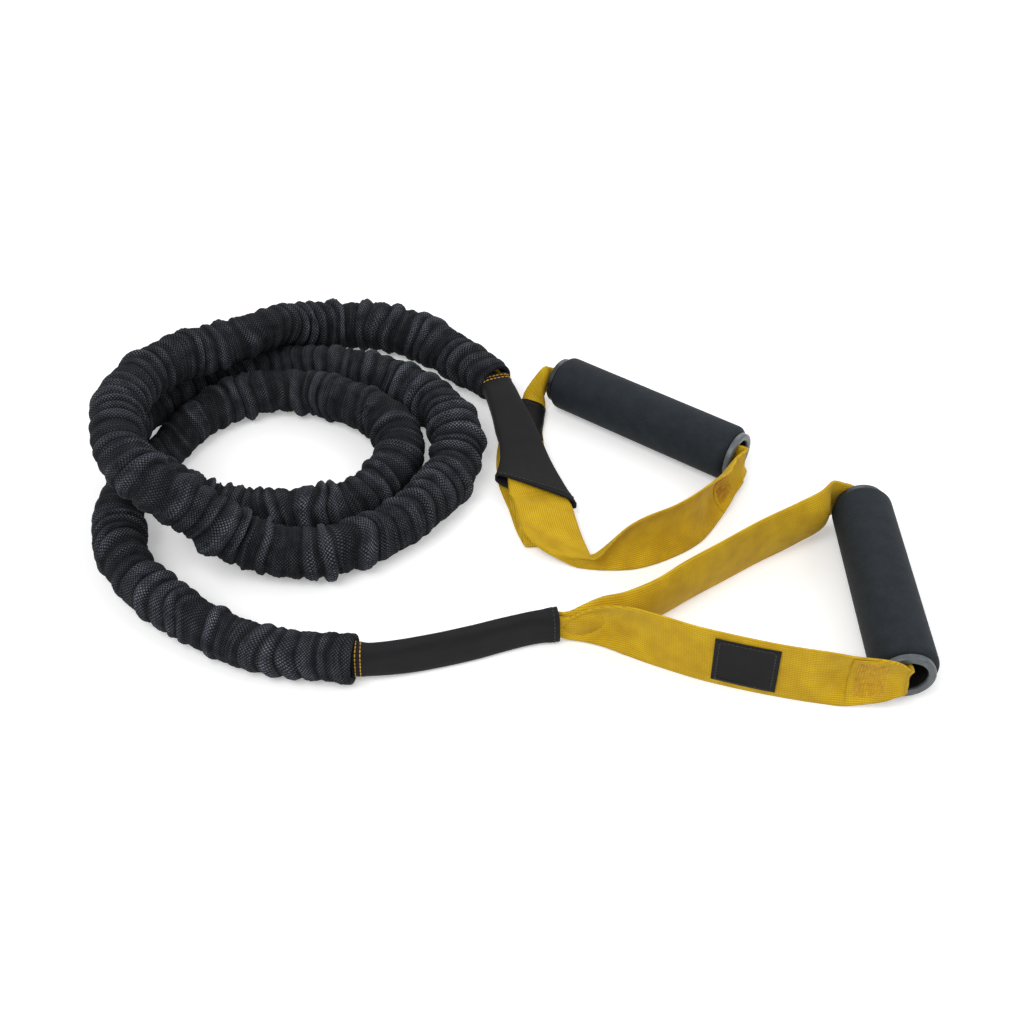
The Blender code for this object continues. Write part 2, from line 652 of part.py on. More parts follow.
def drop_axis_edge(mesh):
    """Open a turned profile where it runs along its own axis."""
    form = bmesh.new()
    form.from_mesh(mesh)
    on_axis = [e for e in form.edges if all(abs(v.co.x) < 1e-9 for v in e.verts)]
    bmesh.ops.delete(form, geom=on_axis, context="EDGES")
    form.to_mesh(mesh)
    form.free()


def make_anchor(name, parent, finish):
    """The strap's tails, gathered round the plugged tube end with a slit left open below."""
    inner = TUBE_RADIUS + ANCHOR_CLEARANCE
    outer = anchor_outer_radius()
    half_slit = ANCHOR_SLIT_DEGREES / 2
    around = arc((0, 0), outer, half_slit - 90, 270 - half_slit, ANCHOR_STEPS)
    around += arc((0, 0), inner, 270 - half_slit, half_slit - 90, ANCHOR_STEPS)
    rings = [[(x, y, z) for y, z in around] for x in (-ANCHOR_SETBACK, -ANCHOR_LENGTH)]
    add_object(name, loft(name, rings), finish, parent)


def loft(name, rings, closed=False):
    """A closed body through rings of points; the end rings become flat caps, or the ends join."""
    count = len(rings[0])
    points = [point for ring in rings for point in ring]
    faces = []
    spans = len(rings) if closed else len(rings) - 1
    for i in range(spans):
        here = i * count
        there = (i + 1) % len(rings) * count
        for j in range(count):
            k = (j + 1) % count
            faces.append((here + j, here + k, there + k, there + j))
    if not closed:
        faces.append(tuple(range(count)))
        faces.append(tuple(len(points) - 1 - i for i in range(count)))
    return mesh_from(name, points, faces)


def tangents(points):
    """The direction along a line of points, at each of them."""
    made = []
    for i in range(len(points)):
        made.append((points[min(i + 1, len(points) - 1)] - points[max(i - 1, 0)]).normalized())
    return made


def curl_half_angle(chord, width):
    """Half the angle of the arc that a strap's width makes over a shorter chord."""
    low, high = 0.0001, math.pi
    for _ in range(40):
        middle = (low + high) / 2
        if math.sin(middle) / middle > chord / width:
            low = middle
        else:
            high = middle
    return low


class Curl:
    """A strap's cross-section at one place: an arc between its two edges, nearly flat or curled."""

    def __init__(self, row, way):
        first = Vector(row[:3])
        second = Vector(row[3:6])
        chord = (second - first).length
        self.wide = (second - first).normalized()
        self.bulge = self.wide.cross(way).normalized()
        self.way = way
        width = max(row[6], chord * LEAST_SPARE_WIDTH)
        self.half = curl_half_angle(chord, width)
        self.radius = width / (2 * self.half)
        self.centre = (first + second) / 2 - self.bulge * self.radius * math.cos(self.half)
        self.thick = STRAP_THICKNESS + GATHERED_EXTRA_THICKNESS * (1 - min(1.0, width / STRAP_WIDTH))

    def out(self, share):
        """The direction square to the strap at a share of its half width, from -1 to 1."""
        angle = self.half * share
        return self.bulge * math.cos(angle) + self.wide * math.sin(angle)

    def point(self, share, offset):
        """A place at a share of the half width, at an offset from the middle of the thickness."""
        return self.centre + self.out(share) * (self.radius + offset)


def curls(rows):
    """The cross-sections along a strap's rows."""
    middles = [(Vector(row[:3]) + Vector(row[3:6])) / 2 for row in rows]
    return [Curl(row, way) for row, way in zip(rows, tangents(middles))]


def off_the_floor(rows):
    """The rows, each raised where its section would come too near the floor."""
    made = []
    for row, section in zip(rows, curls(rows)):
        half = section.thick / 2
        heights = [section.point(share, half * side).z for share in SECTION_SHARES for side in (-1, 1)]
        rise = max(0.0, STRAP_FLOOR_GAP - min(heights))
        made.append([*row[:2], row[2] + rise, *row[3:5], row[5] + rise, row[6]])
    return made


def ribbon(name, sections, reach, near, far, across):
    """A closed ribbon on a strap's sections, between two offsets given for each section."""
    rings = []
    for section, low, high in zip(sections, near, far):
        shares = [reach * (2 * i / across - 1) for i in range(across + 1)]
        outer = [section.point(share, high) for share in shares]
        inner = [section.point(share, low) for share in reversed(shares)]
        rings.append(outer + inner)
    return loft(name, rings)


def stretch_of(rows, start, length, count):
    """A stretch of the rows by distance along their first edge, in even steps."""
    end = length_of(rows) - start - length
    stretch = trim(rows, start, end)
    return evenly(stretch, length / count)


def thread_along(name, places, closed):
    """A thread of four sides through places, each with the direction square to what it lies on."""
    points = [place for place, _ in places]
    rings = []
    for i, (place, out) in enumerate(places):
        if closed:
            way = points[(i + 1) % len(points)] - points[i - 1]
        else:
            way = points[min(i + 1, len(points) - 1)] - points[max(i - 1, 0)]
        side = way.normalized().cross(out).normalized() * THREAD_RADIUS
        rise = out * THREAD_RADIUS
        rings.append([place + side, place + rise, place - side, place - rise])
    return loft(name, rings, closed)


def superellipse(angle):
    """A point of the sheath's rounded oblong section, one unit to each side."""
    c, s = math.cos(angle), math.sin(angle)
    return (math.copysign(abs(c) ** SHEATH_SQUARENESS, c), math.copysign(abs(s) ** SHEATH_SQUARENESS, s))


class Handle:
    """One handle from the lists and sizes above: its sheath, its strap and its grip."""

    def __init__(self, side, sheath, slant, strands, strand_past, turns, tail_flip, far_face, grip_heading):
        self.side = side
        self.sheath = self.sheath_rows([(*in_part(*row[:3]), *row[3:]) for row in sheath], slant)
        self.turns = turns
        self.tail_flip = tail_flip
        heading = math.radians(grip_heading)
        self.axis = Vector((math.cos(heading), math.sin(heading), 0))
        self.throat = Vector((-self.axis.y, self.axis.x, 0))
        self.grip = in_part(*far_face, FOAM_RADIUS) - self.axis * (GRIP_LENGTH / 2)
        self.empty = axis_empty(f"{side}_grip_axis", self.grip, heading)
        near, far = [[self.placed(row) for row in strand] for strand in strands]
        self.strands = (self.follow_grip(near, strand_past), far)
        self.rows = self.strap_rows()

    @staticmethod
    def placed(row):
        """A strap row moved from the view's frame into the part's."""
        return (*in_part(*row[:3]), *in_part(*row[3:6]), row[6])

    def follow_grip(self, rows, past):
        """The near strand's rows, slid along the grip's axis to end that far past its near face."""
        last = (Vector(rows[-1][:3]) + Vector(rows[-1][3:6])) / 2
        slide = (self.grip - last).dot(self.axis) - GRIP_LENGTH / 2 - past
        made = []
        for i, row in enumerate(rows):
            step = self.axis * (slide * i / (len(rows) - 1))
            made.append((*(Vector(row[:3]) + step), *(Vector(row[3:6]) + step), row[6]))
        return made

    @staticmethod
    def sheath_rows(rows, slant):
        """The sheath's places, each with its way, its wide direction, the one through it and its slant."""
        made = []
        centres = [Vector(row[:3]) for row in rows]
        for i, (row, way) in enumerate(zip(rows, tangents(centres))):
            wide = Vector(row[3:6])
            wide = (wide - way * wide.dot(way)).normalized()
            share = max(0.0, 1 - length_of(centres[i:]) / SLANTED_LENGTH)
            made.append((centres[i], way, wide, way.cross(wide), row[6], row[7], slant * share ** 2))
        return made

    def leg(self, sign, flip):
        """One gathered tail of the strap in the sheath, from the sheath's tail to its mouth."""
        made = []
        for i, (centre, way, wide, through, across, deep, _) in enumerate(self.sheath):
            width = (across - 2 * SHEATH_WALL) * TAIL_WIDTH_SHARE
            spread = (deep - 2 * SHEATH_WALL) * TAIL_SPREAD_SHARE
            middle = centre + through * sign * spread / 2
            if i == 0:
                middle = middle + way * TAIL_SETBACK
            edge = wide * (-0.5 if flip else 0.5) * width
            made.append((*(middle - edge), *(middle + edge), width))
        return made

    def turn_row(self, end, *row):
        """A strap row by a ring, from its edges' places out of the ring's face, to the throat and up."""
        face = self.grip + self.axis * (end * GRIP_LENGTH / 2)
        made = []
        for out, towards, height in (row[:3], row[3:6]):
            place = face + self.axis * (end * out) + self.throat * towards
            made += [place.x, place.y, height]
        return (*made, row[6])

    def strap_rows(self):
        """The whole strap: tail, near strand, round through the grip's bore, far strand, tail."""
        curl = RING_HOLE_RADIUS - GRIP_STRAP_CLEARANCE - STRAP_THICKNESS / 2
        half = STRAP_WIDTH / (2 * curl)
        towards, rise = curl * math.cos(half), curl * math.sin(half)
        low, high = FOAM_RADIUS - rise, FOAM_RADIUS + rise
        curled = (-CURL_DEPTH, towards, low, -CURL_DEPTH, towards, high, STRAP_WIDTH)
        near_turn = [self.turn_row(-1, *row) for row in (*self.turns[0], *BORE_ENTRY, curled)]
        far_turn = [self.turn_row(1, *row) for row in (*self.turns[1], *BORE_ENTRY, curled)]
        near_leg = self.leg(1, False)
        far_leg = self.leg(-1, self.tail_flip)[::-1]
        rows = [near_leg[-1], *self.strands[0], *near_turn, *far_turn[::-1], *self.strands[1], far_leg[0]]
        return near_leg[:-1] + off_the_floor(smooth_rows(rows, STRAP_STEPS)) + far_leg[1:]

    def from_mouth(self, along, length, count):
        """A stretch of the near strand's sections, by distance from the sheath's mouth."""
        mouth = length_of(self.rows[:len(self.sheath)])
        return curls(stretch_of(self.rows, mouth + along, length, count))

    def make_webbing(self, finish):
        """The strap, one open ribbon."""
        sections = curls(self.rows)
        high = [section.thick / 2 for section in sections]
        low = [-section.thick / 2 for section in sections]
        name = f"{self.side}_webbing"
        add_object(name, ribbon(name, sections, 1.0, low, high, STRAP_ACROSS), finish)
        print(f"{name}: length {length_of(self.rows):.4f} m along its first edge")

    def make_bar_tack(self, along, finish):
        """The rows of sewing that join the strap's lap, on its outer face by the grip."""
        count = BAR_TACK_ROWS - 1
        sections = self.from_mouth(along, count * BAR_TACK_PITCH, count)
        places = []
        for i, section in enumerate(sections):
            offset = -section.thick / 2 - BAR_TACK_GAP - THREAD_RADIUS
            shares = (-BAR_TACK_SHARE, BAR_TACK_SHARE) if i % 2 else (BAR_TACK_SHARE, -BAR_TACK_SHARE)
            places += [(section.point(share, offset), -section.out(share)) for share in shares]
        name = f"{self.side}_bar_tack"
        add_object(name, thread_along(name, places, False), finish)

    def make_label(self, finish):
        """The bare patch on the near strand's outer face."""
        sections = self.from_mouth(LABEL_ALONG, LABEL_LENGTH, LABEL_STEPS)
        high = [-section.thick / 2 - FIT for section in sections]
        low = [offset - LABEL_THICKNESS for offset in high]
        name = f"{self.side}_label_patch"
        add_object(name, ribbon(name, sections, LABEL_SHARE, low, high, 2), finish)

    def section_ring(self, row, inset):
        """Points round the sheath at one of its rows, inside its outer face by an inset."""
        centre, way, wide, through, across, deep, slant = row
        ring = []
        for i in range(SHEATH_AROUND):
            a, b = superellipse(2 * math.pi * (i + 0.5) / SHEATH_AROUND)
            place = centre + way * a * slant
            ring.append(place + wide * a * (across / 2 - inset) + through * b * (deep / 2 - inset))
        return ring

    def make_sheath(self, finish):
        """The flat black cover over the strap's tails, open at both ends."""
        outer = [self.section_ring(row, 0.0) for row in self.sheath]
        inner = [self.section_ring(row, SHEATH_WALL) for row in reversed(self.sheath)]
        name = f"{self.side}_sheath"
        add_object(name, loft(name, outer + inner, closed=True), finish)

    def make_hem_stitch(self, end_name, index, finish):
        """The thread sewn round the sheath's hem at one of its ends."""
        centre, way, *sizes = self.sheath[index]
        setback = HEM_SETBACK * (1 if index == 0 else -1)
        inset = -FIT - THREAD_RADIUS
        middle = centre + way * setback
        here = self.section_ring((middle, way, *sizes), inset)
        places = [(place, (place - middle).normalized()) for place in here]
        name = f"{self.side}_sheath_{end_name}_stitch"
        add_object(name, thread_along(name, places, True), finish)

    def make_grip(self, finishes):
        """The foam, the rigid core in it and the ring at each end."""
        side = self.side
        foam_half = GRIP_LENGTH / 2 - RING_PROUD - SEAT_GAP
        foam_bore = CORE_OUTER_RADIUS + FIT
        corner = FOAM_RADIUS - FOAM_EDGE_RADIUS
        foam = [(foam_bore, foam_half)]
        foam += arc((corner, foam_half - FOAM_EDGE_RADIUS), FOAM_EDGE_RADIUS, 90, 0, FOAM_EDGE_STEPS)
        foam += arc((corner, FOAM_EDGE_RADIUS - foam_half), FOAM_EDGE_RADIUS, 0, -90, FOAM_EDGE_STEPS)
        foam += [(foam_bore, -foam_half)]
        turned(f"{side}_grip_foam", foam, GRIP_SIDES, finishes["foam"], self.empty)

        core_half = GRIP_LENGTH / 2 - RING_PROUD + RING_SOCKET_DEPTH - SEAT_GAP
        core = [(CORE_BORE_RADIUS, core_half), (CORE_OUTER_RADIUS, core_half)]
        core += [(CORE_OUTER_RADIUS, -core_half), (CORE_BORE_RADIUS, -core_half)]
        turned(f"{side}_grip_core", core, CORE_SIDES, finishes["ring_plastic"], self.empty)

        face = GRIP_LENGTH / 2
        edge = RING_EDGE_RADIUS
        socket = face - RING_PROUD + RING_SOCKET_DEPTH
        ring = arc((RING_RADIUS - edge, face - edge), edge, 90, 0, EDGE_STEPS)
        ring += [(RING_RADIUS, face - RING_PROUD), (foam_bore, face - RING_PROUD)]
        ring += [(foam_bore, socket), (RING_HOLE_RADIUS, socket)]
        ring += arc((RING_HOLE_RADIUS + edge, face - edge), edge, 180, 90, EDGE_STEPS)
        turned(f"{side}_grip_far_ring", ring, GRIP_SIDES, finishes["ring_plastic"], self.empty)
        near_ring = [(radius, -along) for radius, along in reversed(ring)]
        turned(f"{side}_grip_end_ring", near_ring, GRIP_SIDES, finishes["ring_plastic"], self.empty)

    def make(self, finishes, bar_tack_along):
        """All the pieces of this handle."""
        self.make_webbing(finishes["webbing"])
        self.make_bar_tack(bar_tack_along, finishes["thread"])
        self.make_sheath(finishes["sheath_fabric"])
        self.make_hem_stitch("tail", 0, finishes["thread"])
        self.make_hem_stitch("mouth", -1, finishes["thread"])
        self.make_grip(finishes)


def main():
    reset_scene()
    finishes = make_materials()
    route = tube_route()
    make_sleeve(route, finishes["sleeve_fabric"])
    make_latex_tube(route, finishes["latex"])
    make_tube_end("rear", route[0], route[1], finishes)
    make_tube_end("front", route[-1], route[-2], finishes)

    front = Handle(
        "front", FRONT_SHEATH, 0.0, (FRONT_NEAR_STRAND, FRONT_FAR_STRAND), FRONT_STRAND_PAST,
        (FRONT_NEAR_TURN, FRONT_FAR_TURN), False, FRONT_GRIP_FAR_FACE, FRONT_GRIP_HEADING,
    )
    front.make(finishes, FRONT_BAR_TACK_ALONG)
    front.make_label(finishes["label"])
    rear = Handle(
        "rear", REAR_SHEATH, REAR_SLANT, (REAR_NEAR_STRAND, REAR_FAR_STRAND), REAR_STRAND_PAST,
        (REAR_NEAR_TURN, REAR_FAR_TURN), True, REAR_GRIP_FAR_FACE, REAR_GRIP_HEADING,
    )
    rear.make(finishes, REAR_BAR_TACK_ALONG)
    bpy.context.view_layer.update()


main()
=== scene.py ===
"""How the resistance tube with handles looks: its fabrics, webbing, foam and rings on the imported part.

Metres, +Z up, in the part's own frame. The tube and the straps lie as the part's own do, to a few
millimetres.
"""

import math

import bmesh
import bpy
import numpy as np
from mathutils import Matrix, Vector


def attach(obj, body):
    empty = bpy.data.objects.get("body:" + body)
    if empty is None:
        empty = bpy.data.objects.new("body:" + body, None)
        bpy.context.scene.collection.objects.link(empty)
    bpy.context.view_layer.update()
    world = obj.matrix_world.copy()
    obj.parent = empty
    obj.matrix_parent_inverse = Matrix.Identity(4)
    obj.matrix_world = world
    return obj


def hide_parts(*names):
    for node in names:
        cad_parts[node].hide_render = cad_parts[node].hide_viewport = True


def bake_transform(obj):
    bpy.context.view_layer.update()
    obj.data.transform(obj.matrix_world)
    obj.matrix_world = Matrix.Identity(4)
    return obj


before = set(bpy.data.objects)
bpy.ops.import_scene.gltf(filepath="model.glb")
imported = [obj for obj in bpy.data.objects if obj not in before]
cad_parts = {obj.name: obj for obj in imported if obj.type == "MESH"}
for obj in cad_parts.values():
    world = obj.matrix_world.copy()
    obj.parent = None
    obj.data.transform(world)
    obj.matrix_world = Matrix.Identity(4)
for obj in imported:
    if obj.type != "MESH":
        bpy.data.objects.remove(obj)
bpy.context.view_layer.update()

# The camera at the photograph's viewing angle
CAMERA_PLACE = (-0.0696, -0.5614, 0.5115)
CAMERA_TILT_DEGREES = 48.5
CAMERA_LENS_MM = 44.54
CAMERA_SENSOR_MM = 36.0

# The studio: half the floor's side, how bright the floor and the surround look, and the lamps, each with
# its place, the side of its square and its power
FLOOR_HALF = 6.0
FLOOR_GLOW = 0.30
SURROUND_STRENGTH = 0.50
SURROUND_SEEN_EXTRA = 0.50
LAMPS = {
    "key": ((-0.55, -0.75, 1.35), 0.9, 13.0),
    "fill": ((0.95, -0.35, 0.85), 0.8, 4.0),
    "back": ((0.1, 1.1, 0.9), 0.9, 4.0),
}

# Sizes that repeat the part's, but for the anchored tails', which are a little shorter at both ends
FIT = 0.0003
FLOOR_FLAT = 0.0005
TUBE_RADIUS = 0.006
TUBE_END_SETBACK = 0.012
ANCHOR_LENGTH = 0.026
ANCHOR_SETBACK = 0.0016
ANCHOR_CLEARANCE = 0.0006
ANCHOR_THICKNESS = 0.0016
ANCHOR_SLIT_DEGREES = 36.0
STRAP_WIDTH = 0.038
STRAP_THICKNESS = 0.0018
STRAP_FLOOR_GAP = 0.0003
GATHERED_EXTRA_THICKNESS = 0.0012
LEAST_SPARE_WIDTH = 1.0001
SECTION_SHARES = (-1, -0.6, 0, 0.6, 1)
SHEATH_WALL = 0.0009
SHEATH_SQUARENESS = 0.5
GRIP_LENGTH = 0.137
CORE_OUTER_RADIUS = 0.013
FOAM_RADIUS = 0.0175
FOAM_EDGE_RADIUS = 0.004
RING_HOLE_RADIUS = 0.0105
RING_RADIUS = 0.01475
RING_PROUD = 0.0035
RING_SOCKET_DEPTH = 0.0015
RING_EDGE_RADIUS = 0.0012
SEAT_GAP = 0.0004
GRIP_STRAP_CLEARANCE = 0.0005
LABEL_LENGTH = 0.0335
LABEL_THICKNESS = 0.0008
HEM_SETBACK = 0.003

# The gathered sleeve: rings along it, and the folds of its cloth
SLEEVE_SEED = 7
SLEEVE_RING_PITCH = 0.00056
SLEEVE_SIDES = 30
SLEEVE_FLAT_AROUND = 0.096
FOLD_PITCH = (0.0060, 0.0125)
FOLD_DEPTH = 0.0042
FOLD_SLANT = 0.0034
FOLD_WANDER = 0.024
FOLD_LEAST_HEIGHT = 0.35
FOLD_POWER = 0.85
PLEAT_PITCH = (0.0021, 0.0036)
PLEAT_DEPTH = 0.0013
PLEAT_LEAST_HEIGHT = 0.2
PLEAT_POWER = 0.7
# Creases made past the sleeve's own length, and how many widest pitches of them come before its start
SPARE_CREASES = 12
PITCHES_BEFORE = 4
# A crest's height round the sleeve: its mean and how much higher it is on its strong side
CREST_MEAN = 0.82
CREST_SWING = 0.26
# The sleeve's relief, for its finish, as shares of the folds' height and of the pleats': from it the finish
# paints shade into the low places and fades the flecks there
FOLD_RELIEF = 0.7
PLEAT_RELIEF = 0.3
# The folds are at their full depth from the full radius on, and at this share of it at the thin radius
LEAST_FULLNESS = 0.45
SLEEVE_THIN_RADIUS = 0.0105
SLEEVE_FULL_RADIUS = 0.0150
SLEEVE_MOUTH_RADIUS = 0.0094
SLEEVE_FLOOR_GAP = 0.0002
SLEEVE_SPARE = 0.0019
SLEEVE_FLARE = 0.0008
SLEEVE_FLARE_LENGTH = 0.010
# The rolled lip at each end of the sleeve: how far past the end, share of the way out from the mouth
SLEEVE_LIP = [
    (0.0010, 1.0),
    (0.0019, 0.95),
    (0.0025, 0.76),
    (0.0026, 0.5),
    (0.0020, 0.2),
    (-0.002, 0.0),
    (-0.009, 0.0),
]
LATEX_PITCH = 0.004
LATEX_SIDES = 20

# The straps, finer than the part's
STRAP_SEED = 3
TAIL_SEED = 5
STRAP_PITCH = 0.0022
STRAP_STEPS = 8
STRAP_COLUMNS = 30
SELVEDGE_SHARE = 0.035
# The square of a selvedge's thickness at its very edge, as a share of the strap's
SELVEDGE_BLUNTNESS = 0.08
CREASES = 1.6
CREASE_DEPTH = 0.0006
CREASE_WANDER = 0.045
FLUTTER = 0.00022
FLUTTER_WANDER = 0.030
FLUTTER_LEVEL = 0.4
TAIL_LENGTH = 0.030
TAIL_OVERLAP = 0.004
TAIL_STEPS = 4
LAP_THICKNESS = 0.0005
LAP_SUNK = 0.0001
LAP_SHARE = 0.985
LAP_BEFORE = 0.004
LAP_LENGTH = 0.031
ANCHOR_STEPS = 12
ANCHOR_ARC_STEPS = 40

# The bare patches: pitch along the strap, and share of its width. The rear strap is narrowest there.
LABEL_PITCH = 0.0012
FRONT_LABEL_SHARE = 0.79
REAR_LABEL_SHARE = 0.96
# The sewing round a patch: pitches in from its ends, share of its width, points across and stitch pitch
LABEL_SEWING_INSET = 2
LABEL_SEWING_SHARE = 0.90
LABEL_SEWING_POINTS = 9
LABEL_STITCH_PITCH = 0.0022

# The sheaths, finer than the part's
SHEATH_SEED = 11
SHEATH_PITCH = 0.0018
SHEATH_STEPS = 10
SHEATH_COLUMNS = 48
HEM_LENGTH = 0.0075
HEM_RISE = 0.0004
HEM_STEP_LENGTH = 0.0012
TAIL_HEM_SHIFTS = (-0.0012, 0.0014)
SHEATH_WRINKLE = 0.00022
WRINKLE_WAVES = 4
WRINKLE_WANDER = 0.016
CALM_LENGTH = 0.02
REAR_SLANT = 0.0175
SLANTED_LENGTH = 0.060

# Sewing
THREAD_RADIUS = 0.00036
STITCH_PITCH = 0.0026
STITCH_SHARE = 0.82
STITCH_SIDES = 8
STITCH_RINGS = 6
# How far a thread's middle is off the cloth, as shares of its radius
BAR_TACK_STAND = 0.2
LABEL_STAND = 0.3
HEM_STAND = 0.4
BAR_TACK_ROWS = 12
BAR_TACK_PITCH = 0.0014
BAR_TACK_SHARE = 0.7
BAR_TACK_STITCHES = 6
WHIPPING_TURNS = 4
WHIPPING_THREAD_RADIUS = 0.0006
WHIPPING_GAP = 0.0003
WHIPPING_STEPS = 32
WHIPPING_SIDES = 8

# The turned pieces of the grips
ROUND_SIDES = 96
EDGE_STEPS = 6
FOAM_STEPS = 12
SHARP_DEGREES = 50

# The patterns in the finishes. The flecks' pitch is along a diagonal of the cloth's two coordinates.
FLECK_PITCH = 0.0021
RIB_PITCH = 0.0013
CROSSING_PITCH = 0.0014
CROSSING_SLOPE = 0.6
OXFORD_PITCH = 0.0011
SATIN_PITCH = 0.0008
PORES_PER_METRE = 900.0
# Drawn pleats to the metre, along the sleeve and round it; they are bumps, and also painted light and shade
# in the sleeve's tone
PLEATS_PER_METRE = (520.0, 60.0, 1.0)
# The part of the noise's range that soft patches use
NOISE_LOW = 0.3
NOISE_HIGH = 0.7
SHEEN_ROUGHNESS = 0.5
FLAT_MAP = "flat"

# Where things lie, measured from the point on the floor at the middle of the view, then moved by
# ORIGIN_IN_VIEW so that the part's origin is under the middle of its handles.
ORIGIN_IN_VIEW = Vector((0.0696, -0.0168, 0.0))
COIL_CENTRE = (-0.133, 0.040)

# Each grip's far face, and its heading from its near end to that face
FRONT_GRIP_FAR_FACE = (0.20621, -0.01152)
FRONT_GRIP_HEADING = 88.6
REAR_GRIP_FAR_FACE = (0.03110, 0.11390)
REAR_GRIP_HEADING = 143.1

# The tube's lay. The lead at the rear handle: x, y, lift off the floor, sleeve radius.
REAR_LEAD = [
    (-0.0124, 0.1114, 0.0048, 0.0134),
    (-0.0184, 0.1186, 0.0038, 0.0146),
    (-0.0252, 0.1260, 0.0026, 0.0158),
    (-0.0322, 0.1332, 0.0017, 0.0166),
]
# The turns: degrees round the coil's centre, reach from it, lift off the floor, sleeve radius.
# The outer turn climbs onto the middle one at the back, crosses over the tail at the front left and
# comes down. The middle turn crosses over the tail too, and becomes the inner turn.
TURNS = [
    (52, 0.1390, 0.0010, 0.0170),
    (62, 0.1418, 0.0000, 0.0177),
    (74, 0.1424, 0.0000, 0.0184),
    (86, 0.1362, 0.0015, 0.0180),
    (96, 0.1252, 0.0110, 0.0168),
    (104, 0.1080, 0.0240, 0.0156),
    (114, 0.0945, 0.0297, 0.0158),
    (128, 0.0900, 0.0310, 0.0168),
    (146, 0.0930, 0.0345, 0.0170),
    (164, 0.0970, 0.0385, 0.0168),
    (182, 0.0980, 0.0462, 0.0160),
    (198, 0.1015, 0.0514, 0.0154),
    (214, 0.1070, 0.0518, 0.0160),
    (228, 0.1105, 0.0516, 0.0160),
    (237, 0.1080, 0.0440, 0.0163),
    (246, 0.0995, 0.0270, 0.0168),
    (256, 0.0928, 0.0085, 0.0172),
    (268, 0.0928, 0.0020, 0.0171),
    (284, 0.0960, 0.0000, 0.0168),
    (304, 0.0955, 0.0000, 0.0162),
    (326, 0.0955, 0.0000, 0.0160),
    (346, 0.0978, 0.0000, 0.0169),
    (366, 0.0992, 0.0000, 0.0173),
    (388, 0.0957, 0.0000, 0.0169),
    (410, 0.0915, 0.0000, 0.0163),
    (432, 0.0920, 0.0000, 0.0155),
    (450, 0.0950, 0.0000, 0.0150),
    (464, 0.0980, 0.0000, 0.0142),
    (478, 0.1030, 0.0000, 0.0138),
    (494, 0.1060, 0.0010, 0.0149),
    (510, 0.1070, 0.0050, 0.0147),
    (524, 0.1060, 0.0105, 0.0138),
    (538, 0.1045, 0.0180, 0.0126),
    (552, 0.1020, 0.0244, 0.0121),
    (564, 0.0955, 0.0257, 0.0122),
    (574, 0.0880, 0.0226, 0.0130),
    (583, 0.0790, 0.0145, 0.0143),
    (593, 0.0700, 0.0035, 0.0157),
    (612, 0.0612, 0.0000, 0.0163),
    (640, 0.0594, 0.0000, 0.0164),
    (668, 0.0616, 0.0000, 0.0157),
    (696, 0.0622, 0.0000, 0.0160),
    (722, 0.0634, 0.0000, 0.0171),
    (748, 0.0602, 0.0000, 0.0171),
    (776, 0.0562, 0.0000, 0.0165),
    (802, 0.0596, 0.0000, 0.0160),
    (828, 0.0672, 0.0000, 0.0159),
    (848, 0.0725, 0.0000, 0.0157),
    (866, 0.0765, 0.0000, 0.0144),
    (880, 0.0800, 0.0000, 0.0129),
    (896, 0.0845, 0.0000, 0.0121),
    (910, 0.0955, 0.0000, 0.0127),
    (922, 0.1072, 0.0000, 0.0143),
    (933, 0.1170, 0.0000, 0.0161),
    (944, 0.1268, 0.0000, 0.0158),
    (955, 0.1356, 0.0000, 0.0152),
    (966, 0.1428, 0.0000, 0.0145),
]
# The lead at the front handle: x, y, lift, sleeve radius
FRONT_LEAD = [
    (-0.1730, -0.1030, 0.0000, 0.0138),
    (-0.1430, -0.1200, 0.0000, 0.0132),
    (-0.1148, -0.1276, 0.0010, 0.0124),
    (-0.1049, -0.1287, 0.0010, 0.0124),
    (-0.0949, -0.1298, 0.0009, 0.0125),
    (-0.0850, -0.1309, 0.0006, 0.0128),
]
ROUTE_STEPS = 6

# The sheaths: centre x, y, z, direction across x, y, z, size across, size through
FRONT_SHEATH = [
    (-0.0838, -0.1310, 0.0129, 0, 0, 1, 0.0175, 0.0125),
    (-0.0735, -0.1310, 0.0125, 0, 0, 1, 0.0185, 0.0112),
    (-0.0560, -0.1280, 0.0118, 0, 0, 1, 0.0205, 0.0100),
    (-0.0380, -0.1230, 0.0112, 0, 0, 1, 0.0216, 0.0098),
    (-0.0200, -0.1175, 0.0111, 0, 0, 1, 0.0214, 0.0098),
    (-0.0050, -0.1120, 0.0108, 0, 0, 1, 0.0206, 0.0098),
    (0.0100, -0.1072, 0.0110, 0, 0, 1, 0.0202, 0.0100),
    (0.0250, -0.1045, 0.0114, 0, 0, 1, 0.0204, 0.0104),
]
REAR_SHEATH = [
    (-0.0118, 0.1102, 0.0177, 0.92, 0.39, 0, 0.0195, 0.0125),
    (-0.0075, 0.0985, 0.0175, 0.97, 0.25, 0, 0.0205, 0.0115),
    (-0.0032, 0.0838, 0.0155, 0.97, 0.24, 0, 0.0222, 0.0110),
    (0.0011, 0.0700, 0.0130, 0.96, 0.26, 0, 0.0252, 0.0105),
    (0.0052, 0.0550, 0.0108, 0.97, 0.24, 0, 0.0270, 0.0098),
    (0.0082, 0.0390, 0.0090, 0.98, 0.18, 0, 0.0310, 0.0094),
    (0.0112, 0.0230, 0.0086, 0.99, 0.05, 0, 0.0368, 0.0092),
    (0.0142, 0.0090, 0.0086, 0.99, -0.12, 0, 0.0425, 0.0092),
]
# The strap's two gathered tails in a sheath, as shares of its inner sizes
TAIL_WIDTH_SHARE = 0.80
TAIL_SPREAD_SHARE = 0.42
TAIL_SETBACK = 0.0015

